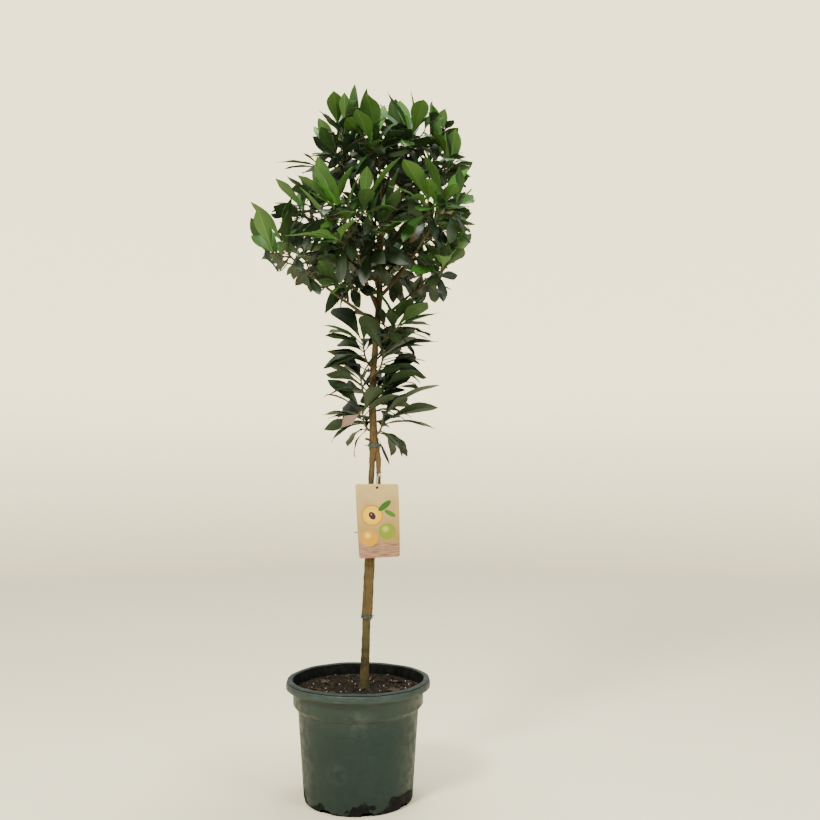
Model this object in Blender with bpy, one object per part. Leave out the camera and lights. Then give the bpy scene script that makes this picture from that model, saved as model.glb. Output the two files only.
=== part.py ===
"""A young grafted lucuma tree in a round plastic nursery pot, with its ties and its hanging card.

Metres, +Z up. The origin is the middle of the pot's flat underside, +X is the tree's right side and
-Y is its front. The limbs and the leaves are grown by one seeded rule from the sizes named here.
"""

import math
import random

import bmesh
import bpy
from mathutils import Matrix, Vector
from mathutils.bvhtree import BVHTree

# Clearance between pieces that touch on the real plant
GAP = 0.0003

# Faces that a union cut apart are joined again where they are flat to within this angle
FLAT_ANGLE = math.radians(3)

# Pot
POT_TOP = 0.312
RIM_RADIUS = 0.186
RIM_BOTTOM = 0.290
MOUTH_RADIUS = 0.169
NECK_RADIUS = 0.168
NECK_BOTTOM = 0.247
STEP_BOTTOM = 0.234
BODY_RADIUS = 0.1555
FOOT_RADIUS = 0.141
FOOT_ROUND = 0.007
WALL = 0.0028
POT_STEPS = 32
DRAIN_COUNT = 8
DRAIN_WIDTH = 0.030
DRAIN_HEIGHT = 0.010
DRAIN_DEPTH = 0.016
DRAIN_TURN = math.radians(237)

# Soil
SOIL_TOP = 0.280
SOIL_CLEARANCE = 0.0004

# Trunk, as height, middle (x) and radius; two narrow steps make the seats of the second stem
TRUNK_FOOT = SOIL_TOP + GAP
LOW_SEAT = 0.4800
HIGH_SEAT = 0.8880
TRUNK = (
    (TRUNK_FOOT, 0.0150, 0.0155),
    (0.2880, 0.0152, 0.0130),
    (0.3020, 0.0156, 0.0120),
    (0.4000, 0.0190, 0.0107),
    (0.4560, 0.0208, 0.0100),
    (LOW_SEAT - 0.0004, 0.0226, 0.0136),
    (LOW_SEAT, 0.0168, 0.0074),
    (0.5400, 0.0198, 0.0073),
    (0.6200, 0.0235, 0.0073),
    (0.7200, 0.0284, 0.0073),
    (0.8240, 0.0332, 0.0072),
    (HIGH_SEAT, 0.0364, 0.0074),
    (HIGH_SEAT + 0.0004, 0.0440, 0.0160),
    (0.9040, 0.0420, 0.0150),
    (0.9380, 0.0390, 0.0106),
    (1.0300, 0.0362, 0.0094),
    (1.1000, 0.0385, 0.0086),
    (1.1750, 0.0440, 0.0080),
    (1.2400, 0.0500, 0.0084),
    (1.3000, 0.0545, 0.0082),
    (1.3700, 0.0570, 0.0068),
    (1.4600, 0.0585, 0.0054),
    (1.5600, 0.0590, 0.0040),
)
TRUNK_SIDES = 10

# Second stem, which leaves the trunk above the first tie and meets it again under the upper one
SECOND_STEM = (
    (LOW_SEAT + GAP, 0.0310, 0.0064),
    (0.5400, 0.0330, 0.0064),
    (0.6200, 0.0367, 0.0064),
    (0.7200, 0.0455, 0.0064),
    (0.8000, 0.0515, 0.0064),
    (0.8420, 0.0528, 0.0063),
    (0.8700, 0.0522, 0.0062),
    (HIGH_SEAT - GAP, 0.0510, 0.0062),
)
SECOND_STEM_FORWARD = -0.005
SECOND_STEM_SIDES = 8

# Boughs: name, height on the trunk, tip, radius at the trunk and at the tip, rise in degrees
BOUGHS = (
    ("bough_far_left", 1.232, (-0.093, -0.030, 1.330), 0.0046, 0.0032, 34),
    ("bough_front_left", 1.272, (0.002, -0.085, 1.392), 0.0050, 0.0035, 42),
    ("bough_front_right", 1.306, (0.152, -0.060, 1.408), 0.0046, 0.0033, 36),
    ("bough_right_low", 1.246, (0.128, 0.006, 1.300), 0.0044, 0.0033, 30),
    ("bough_left_upper", 1.338, (-0.086, 0.050, 1.455), 0.0042, 0.0031, 40),
    ("bough_back_left", 1.290, (-0.052, 0.118, 1.385), 0.0042, 0.0031, 36),
    ("bough_back", 1.262, (0.052, 0.145, 1.335), 0.0044, 0.0031, 32),
    ("bough_back_right", 1.352, (0.140, 0.105, 1.440), 0.0042, 0.0031, 38),
    ("bough_right_upper", 1.412, (0.170, 0.012, 1.552), 0.0038, 0.0028, 44),
    ("bough_top_left_low", 1.452, (-0.004, -0.020, 1.590), 0.0034, 0.0026, 50),
    ("bough_top_left", 1.492, (-0.002, 0.042, 1.640), 0.0032, 0.0025, 54),
    ("bough_top_right", 1.520, (0.104, 0.010, 1.630), 0.0032, 0.0025, 54),
    ("bough_top_far_right", 1.480, (0.142, 0.034, 1.622), 0.0032, 0.0025, 48),
    ("bough_top_back", 1.500, (0.064, 0.078, 1.620), 0.0032, 0.0025, 52),
)
BOUGH_SIDES = 6
BOUGH_STEPS = 4

# Masses of leaves: name, the bough or the height on the trunk that they grow from, the tip of their
# stem, side shoots, leaves on the stem (a side shoot has one fewer), turn of the leaf spiral in
# degrees, seed
MASSES = (
    ("leaves_far_left", "bough_far_left", (-0.188, -0.044, 1.425), 3, 7, 200, 11),
    ("leaves_left_upper", "bough_left_upper", (-0.150, 0.046, 1.536), 3, 7, 150, 12),
    ("leaves_front_left", "bough_front_left", (-0.027, -0.148, 1.482), 3, 7, 170, 13),
    ("leaves_front_right", "bough_front_right", (0.214, -0.104, 1.522), 3, 8, 40, 14),
    ("leaves_right_low", "bough_right_low", (0.228, 0.002, 1.384), 3, 8, 10, 15),
    ("leaves_right_upper", "bough_right_upper", (0.236, 0.014, 1.628), 2, 7, 60, 16),
    ("leaves_back_left", "bough_back_left", (-0.094, 0.176, 1.470), 2, 7, 0, 17),
    ("leaves_back", "bough_back", (0.042, 0.228, 1.415), 3, 7, 0, 18),
    ("leaves_back_right", "bough_back_right", (0.196, 0.164, 1.515), 3, 7, 0, 19),
    ("leaves_top_left_low", "bough_top_left_low", (-0.060, -0.036, 1.664), 2, 7, 160, 20),
    ("leaves_top_left", "bough_top_left", (-0.048, 0.058, 1.712), 3, 8, 100, 21),
    ("leaves_top_right", "bough_top_right", (0.130, 0.004, 1.716), 3, 8, 90, 22),
    ("leaves_top_far_right", "bough_top_far_right", (0.200, 0.040, 1.702), 2, 8, 30, 23),
    ("leaves_top_back", "bough_top_back", (0.062, 0.132, 1.700), 3, 7, 0, 24),
    ("leaves_top_centre", "trunk", (0.050, -0.034, 1.708), 4, 8, 80, 25),
    ("leaves_centre_front", 1.385, (0.070, -0.105, 1.468), 2, 7, 0, 26),
    ("leaves_centre_back", 1.420, (0.040, 0.090, 1.530), 2, 7, 0, 27),
    ("leaves_centre_left", 1.312, (-0.046, -0.024, 1.388), 2, 7, 0, 37),
    ("leaves_centre_right", 1.326, (0.124, 0.022, 1.398), 1, 7, 0, 38),
    ("leaves_right_under", 1.176, (0.112, -0.024, 1.236), 1, 7, 0, 28),
    ("leaves_low_left_1", 1.118, (0.012, -0.014, 1.182), 0, 7, 80, 29),
    ("leaves_low_left_2", 1.030, (0.006, -0.008, 1.092), 0, 7, 20, 30),
    ("leaves_low_left_3", 0.952, (0.010, -0.012, 1.006), 0, 6, 120, 31),
    ("leaves_low_right_1", 1.100, (0.066, -0.016, 1.160), 0, 7, 100, 32),
    ("leaves_low_right_2", 1.016, (0.066, -0.008, 1.078), 0, 7, 60, 33),
    ("leaves_low_right_3", 0.942, (0.066, -0.014, 0.994), 0, 6, 10, 34),
    ("leaves_low_back_1", 1.080, (0.038, 0.032, 1.140), 0, 6, 0, 35),
    ("leaves_low_back_2", 0.990, (0.038, 0.032, 1.046), 0, 6, 60, 36),
)
HEART = 0.7
SPACE_SLACK = 0.030
SPUR_SLACK = 0.065

# Outline of the crown, as height, middle (x) and reach; the middle in y is the trunk's
CROWN = (
    (0.880, 0.050, 0.110),
    (0.940, 0.052, 0.155),
    (1.230, 0.055, 0.160),
    (1.300, 0.050, 0.190),
    (1.370, 0.018, 0.254),
    (1.440, 0.008, 0.298),
    (1.540, 0.012, 0.302),
    (1.610, 0.035, 0.275),
    (1.660, 0.085, 0.215),
    (1.720, 0.078, 0.200),
    (1.780, 0.060, 0.184),
    (1.836, 0.060, 0.096),
)

# Twigs
STEM_RADIUS = 0.0030
STEM_TIP_RADIUS = 0.0019
SHOOT_RADIUS = 0.0024
SHOOT_TIP_RADIUS = 0.0016
SHOOT_LENGTH = 0.085
SHOOT_ANGLE = math.radians(50)
FIRST_SHOOT = 0.22
LAST_SHOOT = 0.74
SHOOT_CLEARANCE = 0.0008
SHOOT_CLEAR_OF_STEM = 0.012
SHOOT_TRIES = (0, 40, -40, 80, -80, 120, -120, 180)
SPUR_RISE = math.radians(35)
STEM_SIDES = 4
SHOOT_SIDES = 3
STEM_STEPS = 4
SHOOT_STEPS = 2
GOLDEN_TURN = math.radians(137.5)

# Leaves
CROWN_LENGTH = 0.134
SPUR_LENGTH = 0.172
OLD_SHARE = 0.82
YOUNG_WIDTH = 0.40
OLD_WIDTH = 0.33
LEAF_THICKNESS = 0.014
LEAF_ROOT = 0.0013
LEAF_SECTIONS = ((0.36, 0.40), (0.70, 0.46))
CROWN_SPREAD = (math.radians(20), math.radians(80))
SPUR_SPREAD = (math.radians(36), math.radians(74))
CROWN_BEND = (math.radians(10), math.radians(52))
SPUR_BEND = (math.radians(34), math.radians(66))
CROWN_ROLL = 0.45
SPUR_ROLL = 0.85
CROWN_FRONT = -1.0
SPUR_FRONT = -0.45  # low leaves leave the trunk's front in view
LEAF_DROOP = 0.16
LEAF_NEAREST = 0.004
LEAF_STRETCH = 0.055
LEAF_CLEARANCE = 0.0007
LEAF_CLEAR_OF_TWIG = 0.006
LEAF_TRIES = ((0, 1.0), (22, 1.0), (-22, 1.0), (44, 0.9), (-44, 0.9), (12, 0.78), (-66, 0.8))

# Card and ties
CARD_WIDTH = 0.111
CARD_HEIGHT = 0.189
CARD_THICKNESS = 0.001
CARD_CORNER = 0.006
CARD_TOP = Vector((0.0487, -0.0195, 0.8140))
CARD_FOOT_SHIFT = 0.0075
CARD_TWIST = math.radians(22)
CARD_STEPS = 8
CARD_HOLE = 0.0035
CARD_HOLE_DROP = 0.009
STRING_RADIUS = 0.0008
STRING_HEIGHT = 0.8430
STRING_CLEARANCE = 0.0006
LOOP_STEPS = 2
TIE_THICKNESS = 0.0012
TIE_HEIGHT = 0.008
TIE_STEPS = 12
KNOT_RADIUS = 0.0036
KNOT_HALF_HEIGHT = 0.005
KNOT_TURN = math.radians(57)
TAIL_RADIUS = 0.0018

# Ties: name, middle, reach of the band along x and y, end that sticks out of the knot
TIES = (
    ("tie_lower", (0.0219, 0, 0.4690), 0.0139, 0.0139, (0.010, -0.006, 0.008)),
    ("tie_middle", (0.0352, -0.0022, 0.6920), 0.0180, 0.0136, (-0.034, -0.002, -0.002)),
    ("tie_upper", (0.0413, 0, 0.9130), 0.0158, 0.0152, (-0.014, -0.006, 0.001)),
)


def clear_scene():
    for item in list(bpy.data.objects):
        bpy.data.objects.remove(item, do_unlink=True)


def make_material(name, colour, roughness):
    material = bpy.data.materials.new(name)
    material.use_nodes = True
    shader = material.node_tree.nodes["Principled BSDF"]
    shader.inputs["Base Color"].default_value = (*colour, 1.0)
    shader.inputs["Roughness"].default_value = roughness
    shader.inputs["Metallic"].default_value = 0.0
    return material


def add_object(name, mesh, material, smooth_angle=None):
    item = bpy.data.objects.new(name, mesh)
    bpy.context.scene.collection.objects.link(item)
    mesh.materials.clear()
    mesh.materials.append(material)
    if smooth_angle is not None:
        mesh.shade_smooth()
        mesh.set_sharp_from_angle(angle=math.radians(smooth_angle))
    return item


def mesh_from_bmesh(name, bm):
    bmesh.ops.recalc_face_normals(bm, faces=bm.faces)
    mesh = bpy.data.meshes.new(name)
    bm.to_mesh(mesh)
    bm.free()
    return mesh


def mesh_from_solid(name, solid):
    mesh = bpy.data.meshes.new(name)
    mesh.from_pydata(solid[0], [], solid[1])
    return mesh


def applied(item):
    """Replaces an object's mesh by the one its modifiers make."""
    graph = bpy.context.evaluated_depsgraph_get()
    mesh = bpy.data.meshes.new_from_object(item.evaluated_get(graph))
    item.modifiers.clear()
    item.data = mesh


def keep_largest_body(mesh):
    """Drops loose scraps and inner shells that a union may leave."""
    bm = bmesh.new()
    bm.from_mesh(mesh)
    left = set(bm.verts)
    bodies = []
    while left:
        stack = [left.pop()]
        body = list(stack)
        while stack:
            for edge in stack.pop().link_edges:
                for vert in edge.verts:
                    if vert in left:
                        left.remove(vert)
                        stack.append(vert)
                        body.append(vert)
        bodies.append(body)
    largest = max(bodies, key=len)
    scraps = [vert for body in bodies if body is not largest for vert in body]
    bmesh.ops.delete(bm, geom=scraps, context="VERTS")
    bmesh.ops.dissolve_limit(bm, angle_limit=FLAT_ANGLE, verts=bm.verts, edges=bm.edges)
    bmesh.ops.triangulate(bm, faces=bm.faces)
    bm.to_mesh(mesh)
    bm.free()


def fuse(name, solids, material):
    """Joins closed solids into one named object with one Boolean union."""
    body = add_object(name, mesh_from_solid(name, solids[0]), material)
    others = bpy.data.collections.new(name + "_pieces")
    bpy.context.scene.collection.children.link(others)
    for index, solid in enumerate(solids[1:]):
        label = f"{name}_piece_{index}"
        others.objects.link(bpy.data.objects.new(label, mesh_from_solid(label, solid)))
    union = body.modifiers.new("union", "BOOLEAN")
    union.operation = "UNION"
    union.operand_type = "COLLECTION"
    union.collection = others
    union.solver = "EXACT"
    applied(body)
    for item in list(others.objects):
        bpy.data.objects.remove(item, do_unlink=True)
    bpy.data.collections.remove(others)
    keep_largest_body(body.data)
    return body


# Limbs


def bezier_path(start, start_direction, end, end_direction, steps):
    """Points and directions along one smooth bend between two ends."""
    handle = 0.36 * (end - start).length
    corners = (start, start + start_direction * handle, end - end_direction * handle, end)
    points = []
    directions = []
    for index in range(steps + 1):
        t = index / steps
        u = 1 - t
        weights = (u * u * u, 3 * u * u * t, 3 * u * t * t, t * t * t)
        slopes = (-u * u, u * u - 2 * u * t, 2 * u * t - t * t, t * t)
        points.append(sum((c * w for c, w in zip(corners, weights)), Vector()))
        directions.append(sum((c * w for c, w in zip(corners, slopes)), Vector()).normalized())
    return points, directions


def limb_solid(points, directions, radii, sides, seat=None):
    """A closed tapering limb. With a seat, its first ring slides onto the plane through the first
    point whose normal is the seat."""
    verts = []
    side = directions[0].orthogonal().normalized()
    for index, (point, direction, radius) in enumerate(zip(points, directions, radii)):
        if index:
            side.rotate(directions[index - 1].rotation_difference(direction))
            side = (side - direction * side.dot(direction)).normalized()
        up = direction.cross(side)
        for corner in range(sides):
            angle = math.tau * corner / sides
            vert = point + (side * math.cos(angle) + up * math.sin(angle)) * radius
            if seat is not None and index == 0:
                vert -= direction * ((vert - point).dot(seat) / direction.dot(seat))
            verts.append(vert)
    faces = []
    for ring in range(len(points) - 1):
        for corner in range(sides):
            a = ring * sides + corner
            b = ring * sides + (corner + 1) % sides
            faces.append((a, b, b + sides))
            faces.append((a, b + sides, a + sides))
    last = (len(points) - 1) * sides
    for corner in range(1, sides - 1):
        faces.append((0, corner + 1, corner))
        faces.append((last, last + corner, last + corner + 1))
    return verts, faces


def upright_limb(stations, sides, y=0.0):
    """A limb whose rings are level, from rows of height, middle and radius."""
    points = [Vector((x, y, z)) for z, x, radius in stations]
    directions = [Vector((0, 0, 1))] * len(stations)
    radii = [radius for z, x, radius in stations]
    return limb_solid(points, directions, radii, sides)


def limb_at(stations, height, y=0.0):
    """The middle and the radius of an upright limb at a height."""
    for low, high in zip(stations, stations[1:]):
        if height <= high[0]:
            share = (height - low[0]) / (high[0] - low[0])
            x = low[1] + (high[1] - low[1]) * share
            radius = low[2] + (high[2] - low[2]) * share
            return Vector((x, y, height)), radius
    raise ValueError("the limb ends below this height")


def seat_on_trunk(height, towards, rise, radius):
    """Where a limb leaves the trunk: its first point, its direction and the way out of the trunk."""
    middle, _ = limb_at(TRUNK, height)
    below, thick = limb_at(TRUNK, height - 1.5 * radius)
    above, thin = limb_at(TRUNK, height + 1.5 * radius)
    along = (above - below).normalized()
    out = towards - middle
    out.z = 0
    out = (out - along * out.dot(along)).normalized()
    start = middle + out * (max(thick, thin) + GAP)
    direction = (out * math.cos(rise) + Vector((0, 0, math.sin(rise)))).normalized()
    return start, direction, out


def grow_limbs():
    """Solids of the trunk, second stem and boughs, and the end of each that a mass grows on from."""
    solids = {
        "trunk": upright_limb(TRUNK, TRUNK_SIDES),
        "second_stem": upright_limb(SECOND_STEM, SECOND_STEM_SIDES, y=SECOND_STEM_FORWARD),
    }
    ends = {"trunk": (Vector((TRUNK[-1][1], 0, TRUNK[-1][0])), Vector((0, 0, 1)), TRUNK[-1][2])}
    tips = {row[1]: Vector(row[2]) for row in MASSES}
    for name, height, tip, thick, thin, rise in BOUGHS:
        tip = Vector(tip)
        start, direction, out = seat_on_trunk(height, tip, math.radians(rise), thick)
        end_direction = ((tips[name] - tip).normalized() + (tip - start).normalized()).normalized()
        points, directions = bezier_path(start, direction, tip, end_direction, BOUGH_STEPS)
        radii = [thick + (thin - thick) * k / BOUGH_STEPS for k in range(BOUGH_STEPS + 1)]
        solids[name] = limb_solid(points, directions, radii, BOUGH_SIDES, seat=out)
        ends[name] = (tip, end_direction, thin)
    return solids, ends


# Leaves


def leaf_solid(root, direction, face, length, width, bend, grow=0.0):
    """One blade: three-cornered sections with a keel under the midrib. The face is its upper side,
    the bend turns it away from that side, and grow makes a fatter copy for testing its room."""
    side = direction.cross(face)
    rows = [(0.0, LEAF_ROOT)]
    rows += [(t, width * half) for t, half in LEAF_SECTIONS]
    verts = []
    for t, half in rows:
        turn = bend * t
        middle = root + (direction * math.sin(turn) - face * (1 - math.cos(turn))) * (length / bend)
        up = face * math.cos(turn) + direction * math.sin(turn)
        keel = max(LEAF_THICKNESS * length, LEAF_ROOT)
        verts.append(middle + side * (half + grow) + up * (keel * 0.4 + grow))
        verts.append(middle - side * (half + grow) + up * (keel * 0.4 + grow))
        verts.append(middle - up * (keel * 0.7 + grow))
    tip = root + (direction * math.sin(bend) - face * (1 - math.cos(bend))) * (length / bend)
    verts.append(tip)
    faces = [(0, 1, 2)]
    for row in range(len(rows) - 1):
        for corner in range(3):
            a = row * 3 + corner
            b = row * 3 + (corner + 1) % 3
            faces.append((a, a + 3, b))
            faces.append((b, a + 3, b + 3))
    last = (len(rows) - 1) * 3
    for corner in range(3):
        faces.append((last + corner, len(verts) - 1, last + (corner + 1) % 3))
    return verts, faces


def in_crown(point):
    """Whether a point lies inside the crown's outline."""
    for low, high in zip(CROWN, CROWN[1:]):
        if low[0] <= point.z <= high[0]:
            share = (point.z - low[0]) / (high[0] - low[0])
            middle = low[1] + (high[1] - low[1]) * share
            reach = low[2] + (high[2] - low[2]) * share
            return math.hypot(point.x - middle, point.y) <= reach
    return False


class Room:
    """What has been grown so far, and which part of the crown each mass keeps to."""

    def __init__(self, limbs, hearts):
        self.limbs = [BVHTree.FromPolygons(*solid) for solid in limbs]
        self.hearts = hearts
        self.placed = []

    def holds(self, owner, verts, slack):
        """Whether all points lie in the crown, and in the mass's own space or just past its edge."""
        heart = self.hearts[owner]
        others = [other for name, other in self.hearts.items() if name != owner]
        for vert in verts:
            if not in_crown(vert):
                return False
            own = (vert - heart).length_squared
            for other in others:
                apart = 2 * (other - heart).length
                if (own - (vert - other).length_squared) / apart > slack:
                    return False
        return True

    def is_free(self, owner, solid, clear_of_twig):
        """Whether a solid touches no limb and no other mass, and its part that is clear of the twig
        it grows on touches nothing of its own mass."""
        whole = BVHTree.FromPolygons(*solid)
        if any(whole.overlap(limb) for limb in self.limbs):
            return False
        clear = BVHTree.FromPolygons(*clear_of_twig)
        middle, reach = ball(solid[0])
        for name, other_middle, other_reach, other in self.placed:
            if (other_middle - middle).length < reach + other_reach:
                if (clear if name == owner else whole).overlap(other):
                    return False
        return True

    def add(self, owner, solid):
        self.placed.append((owner, *ball(solid[0]), BVHTree.FromPolygons(*solid)))


def ball(verts):
    """A ball round some points: its middle and its radius."""
    middle = sum(verts, Vector()) / len(verts)
    return middle, max((vert - middle).length for vert in verts)


def at_share(points, directions, share):
    """The point and the direction at a share of a path's length."""
    place = share * (len(points) - 1)
    low = min(int(place), len(points) - 2)
    point = points[low].lerp(points[low + 1], place - low)
    return point, directions[low].lerp(directions[low + 1], place - low).normalized()


def grow_leaf(mass, shoot, index, room):
    """Adds one leaf of a shoot, youngest first, at the first of a few tries that has room."""
    points, directions, count, turn = shoot
    chance = mass["chance"]
    age = index / max(count - 1, 1)
    length = sum((b - a).length for a, b in zip(points, points[1:]))
    back = min((LEAF_NEAREST + LEAF_STRETCH * age ** 1.2) / length, 0.9)
    root, axis = at_share(points, directions, 1 - back)
    narrow, wide = mass["spread"]
    spread = narrow + (wide - narrow) * age ** 1.15 + chance.uniform(-0.14, 0.14)
    around = turn + index * GOLDEN_TURN + chance.uniform(-0.2, 0.2)
    length = mass["length"] * (1 + (OLD_SHARE - 1) * age) * chance.uniform(0.88, 1.12)
    width = (YOUNG_WIDTH + (OLD_WIDTH - YOUNG_WIDTH) * age) * length * chance.uniform(0.88, 1.1)
    straight, bent = mass["bend"]
    bend = straight + (bent - straight) * age * chance.uniform(0.5, 1.3)
    roll = chance.uniform(-1, 1) * mass["roll"]
    across = axis.orthogonal().normalized()
    for extra, scale in LEAF_TRIES:
        away = across.copy()
        away.rotate(Matrix.Rotation(around + math.radians(extra), 3, axis))
        direction = axis * math.cos(spread) + away * math.sin(spread)
        direction.z -= LEAF_DROOP * age
        direction.normalize()
        if direction.y < mass["front"]:
            continue
        face = axis + Vector((0, 0, 0.8))
        face = (face - direction * face.dot(direction)).normalized()
        face.rotate(Matrix.Rotation(roll, 3, direction))
        shape = (direction, face, length * scale, width * scale, bend)
        fat = leaf_solid(root, *shape, grow=LEAF_CLEARANCE)
        fat_clear = leaf_solid(root + direction * LEAF_CLEAR_OF_TWIG, *shape, grow=LEAF_CLEARANCE)
        held = room.holds(mass["name"], fat[0], mass["slack"])
        if held and room.is_free(mass["name"], fat, fat_clear):
            room.add(mass["name"], fat)
            mass["solids"].append(leaf_solid(root, *shape))
            return


def shoot_solid(start, direction, end, end_direction, radii):
    points, directions = bezier_path(start, direction, end, end_direction, SHOOT_STEPS)
    thick, thin = radii
    sizes = [thick + (thin - thick) * k / SHOOT_STEPS for k in range(SHOOT_STEPS + 1)]
    return points, directions, limb_solid(points, directions, sizes, SHOOT_SIDES)


def start_mass(row, ends, room):
    """A mass's stem, which meets its bough's tip or the trunk."""
    name, limb, tip, side_shoots, leaf_count, turn, seed = row
    tip = Vector(tip)
    seat = None
    if isinstance(limb, str):
        base, direction, radius = ends[limb]
        start = base + direction * GAP
    else:
        radius = STEM_RADIUS
        start, direction, seat = seat_on_trunk(limb, tip, SPUR_RISE, radius)
    radius = min(radius, STEM_RADIUS)
    end_direction = ((tip - start).normalized() + Vector((0, 0, 0.9))).normalized()
    points, directions = bezier_path(start, direction, tip, end_direction, STEM_STEPS)
    sizes = [radius + (STEM_TIP_RADIUS - radius) * k / STEM_STEPS for k in range(STEM_STEPS + 1)]
    stem = limb_solid(points, directions, sizes, STEM_SIDES, seat=seat)
    room.add(name, stem)
    turn = math.radians(turn)
    is_spur = seat is not None and side_shoots == 0
    return {
        "name": name,
        "chance": random.Random(seed),
        "turn": turn,
        "side_shoots": side_shoots,
        "spread": SPUR_SPREAD if is_spur else CROWN_SPREAD,
        "bend": SPUR_BEND if is_spur else CROWN_BEND,
        "roll": SPUR_ROLL if is_spur else CROWN_ROLL,
        "front": SPUR_FRONT if is_spur else CROWN_FRONT,
        "length": SPUR_LENGTH if is_spur else CROWN_LENGTH,
        "slack": SPUR_SLACK if is_spur else SPACE_SLACK,
        "solids": [stem],
        "shoots": [(points, directions, leaf_count, turn)],
    }


def grow_side_shoots(mass, room):
    """Side shoots up the stem, each at the first of a few turns that has room."""
    points, directions, leaf_count, turn = mass["shoots"][0]
    chance = mass["chance"]
    for index in range(mass["side_shoots"]):
        share = FIRST_SHOOT + (LAST_SHOOT - FIRST_SHOOT) * index / max(mass["side_shoots"] - 1, 1)
        root, axis = at_share(points, directions, share)
        length = SHOOT_LENGTH * chance.uniform(0.75, 1.15)
        first = turn + index * GOLDEN_TURN + chance.uniform(-0.3, 0.3)
        across = axis.orthogonal().normalized()
        for extra in SHOOT_TRIES:
            away = across.copy()
            away.rotate(Matrix.Rotation(first + math.radians(extra), 3, axis))
            leaving = axis * math.cos(SHOOT_ANGLE) + away * math.sin(SHOOT_ANGLE)
            end = root + (leaving + Vector((0, 0, 0.25))).normalized() * length
            rising = (leaving + Vector((0, 0, 0.8))).normalized()
            fat_radii = (SHOOT_RADIUS + SHOOT_CLEARANCE,) * 2
            fat = shoot_solid(root, leaving, end, rising, fat_radii)[2]
            off_stem = root + leaving * SHOOT_CLEAR_OF_STEM
            fat_clear = shoot_solid(off_stem, leaving, end, rising, fat_radii)[2]
            held = room.holds(mass["name"], fat[0], mass["slack"])
            if held and room.is_free(mass["name"], fat, fat_clear):
                radii = (SHOOT_RADIUS, SHOOT_TIP_RADIUS)
                path, ways, solid = shoot_solid(root, leaving, end, rising, radii)
                mass["solids"].append(solid)
                mass["shoots"].append((path, ways, leaf_count - 1, turn + 1.1 * (index + 1)))
                room.add(mass["name"], fat)
                break


def grow_masses(limbs, ends):
    """Every mass of leaves: all stems first, then the side shoots, then the leaves by age."""
    hearts = {}
    for row in MASSES:
        start = ends[row[1]][0] if isinstance(row[1], str) else limb_at(TRUNK, row[1])[0]
        hearts[row[0]] = start.lerp(Vector(row[2]), HEART)
    room = Room(limbs.values(), hearts)
    masses = [start_mass(row, ends, room) for row in MASSES]
    for mass in masses:
        grow_side_shoots(mass, room)
    for index in range(max(row[4] for row in MASSES)):
        for mass in masses:
            for shoot in mass["shoots"]:
                if index < shoot[2]:
                    grow_leaf(mass, shoot, index, room)
    return {mass["name"]: mass["solids"] for mass in masses}


# Pot and soil


def spun(name, profile, steps):
    """A closed body turned from a profile whose ends lie on the axis."""
    bm = bmesh.new()
    verts = [bm.verts.new((radius, 0, z)) for radius, z in profile]
    edges = [bm.edges.new(pair) for pair in zip(verts, verts[1:])]
    bmesh.ops.spin(
        bm,
        geom=verts + edges,
        axis=(0, 0, 1),
        cent=(0, 0, 0),
        angle=math.tau,
        steps=steps,
        use_merge=True,
    )
    bmesh.ops.remove_doubles(bm, verts=bm.verts, dist=0.00001)
    bmesh.ops.triangulate(bm, faces=bm.faces)
    return mesh_from_bmesh(name, bm)


def make_pot(material):
    inner_foot = FOOT_RADIUS - WALL
    flare = MOUTH_RADIUS + WALL
    profile = (
        (0, 0),
        (FOOT_RADIUS - FOOT_ROUND, 0),
        (FOOT_RADIUS - FOOT_ROUND * 0.3, FOOT_ROUND * 0.3),
        (FOOT_RADIUS, FOOT_ROUND),
        (BODY_RADIUS, STEP_BOTTOM),
        (NECK_RADIUS, NECK_BOTTOM),
        (NECK_RADIUS, RIM_BOTTOM - 0.004),
        (flare, POT_TOP - WALL),
        (RIM_RADIUS - WALL, POT_TOP - WALL),
        (RIM_RADIUS - WALL, RIM_BOTTOM),
        (RIM_RADIUS, RIM_BOTTOM),
        (RIM_RADIUS, POT_TOP - 0.003),
        (RIM_RADIUS - 0.003, POT_TOP),
        (MOUTH_RADIUS + 0.002, POT_TOP),
        (MOUTH_RADIUS, POT_TOP - 0.002),
        (NECK_RADIUS - WALL, RIM_BOTTOM - 0.004),
        (NECK_RADIUS - WALL, NECK_BOTTOM + 0.001),
        (BODY_RADIUS - WALL, STEP_BOTTOM + 0.001),
        (inner_foot, FOOT_ROUND),
        (inner_foot - 0.004, WALL),
        (0, WALL),
    )
    pot = add_object("pot", spun("pot", profile, POT_STEPS), material, smooth_angle=35)
    bm = bmesh.new()
    for index in range(DRAIN_COUNT):
        turn = Matrix.Rotation(DRAIN_TURN + index * math.tau / DRAIN_COUNT, 4, "Z")
        place = turn @ Matrix.Translation((FOOT_RADIUS, 0, DRAIN_HEIGHT / 2 - 0.001))
        size = Matrix.Diagonal((DRAIN_DEPTH, DRAIN_WIDTH, DRAIN_HEIGHT + 0.002, 1))
        bmesh.ops.create_cube(bm, size=1, matrix=place @ size)
    cutter = add_object("drain_cutter", mesh_from_bmesh("drain_cutter", bm), material)
    cutter.hide_render = True
    cutter.display_type = "WIRE"
    cut = pot.modifiers.new("drains", "BOOLEAN")
    cut.operation = "DIFFERENCE"
    cut.solver = "EXACT"
    cut.object = cutter
    return pot


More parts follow.
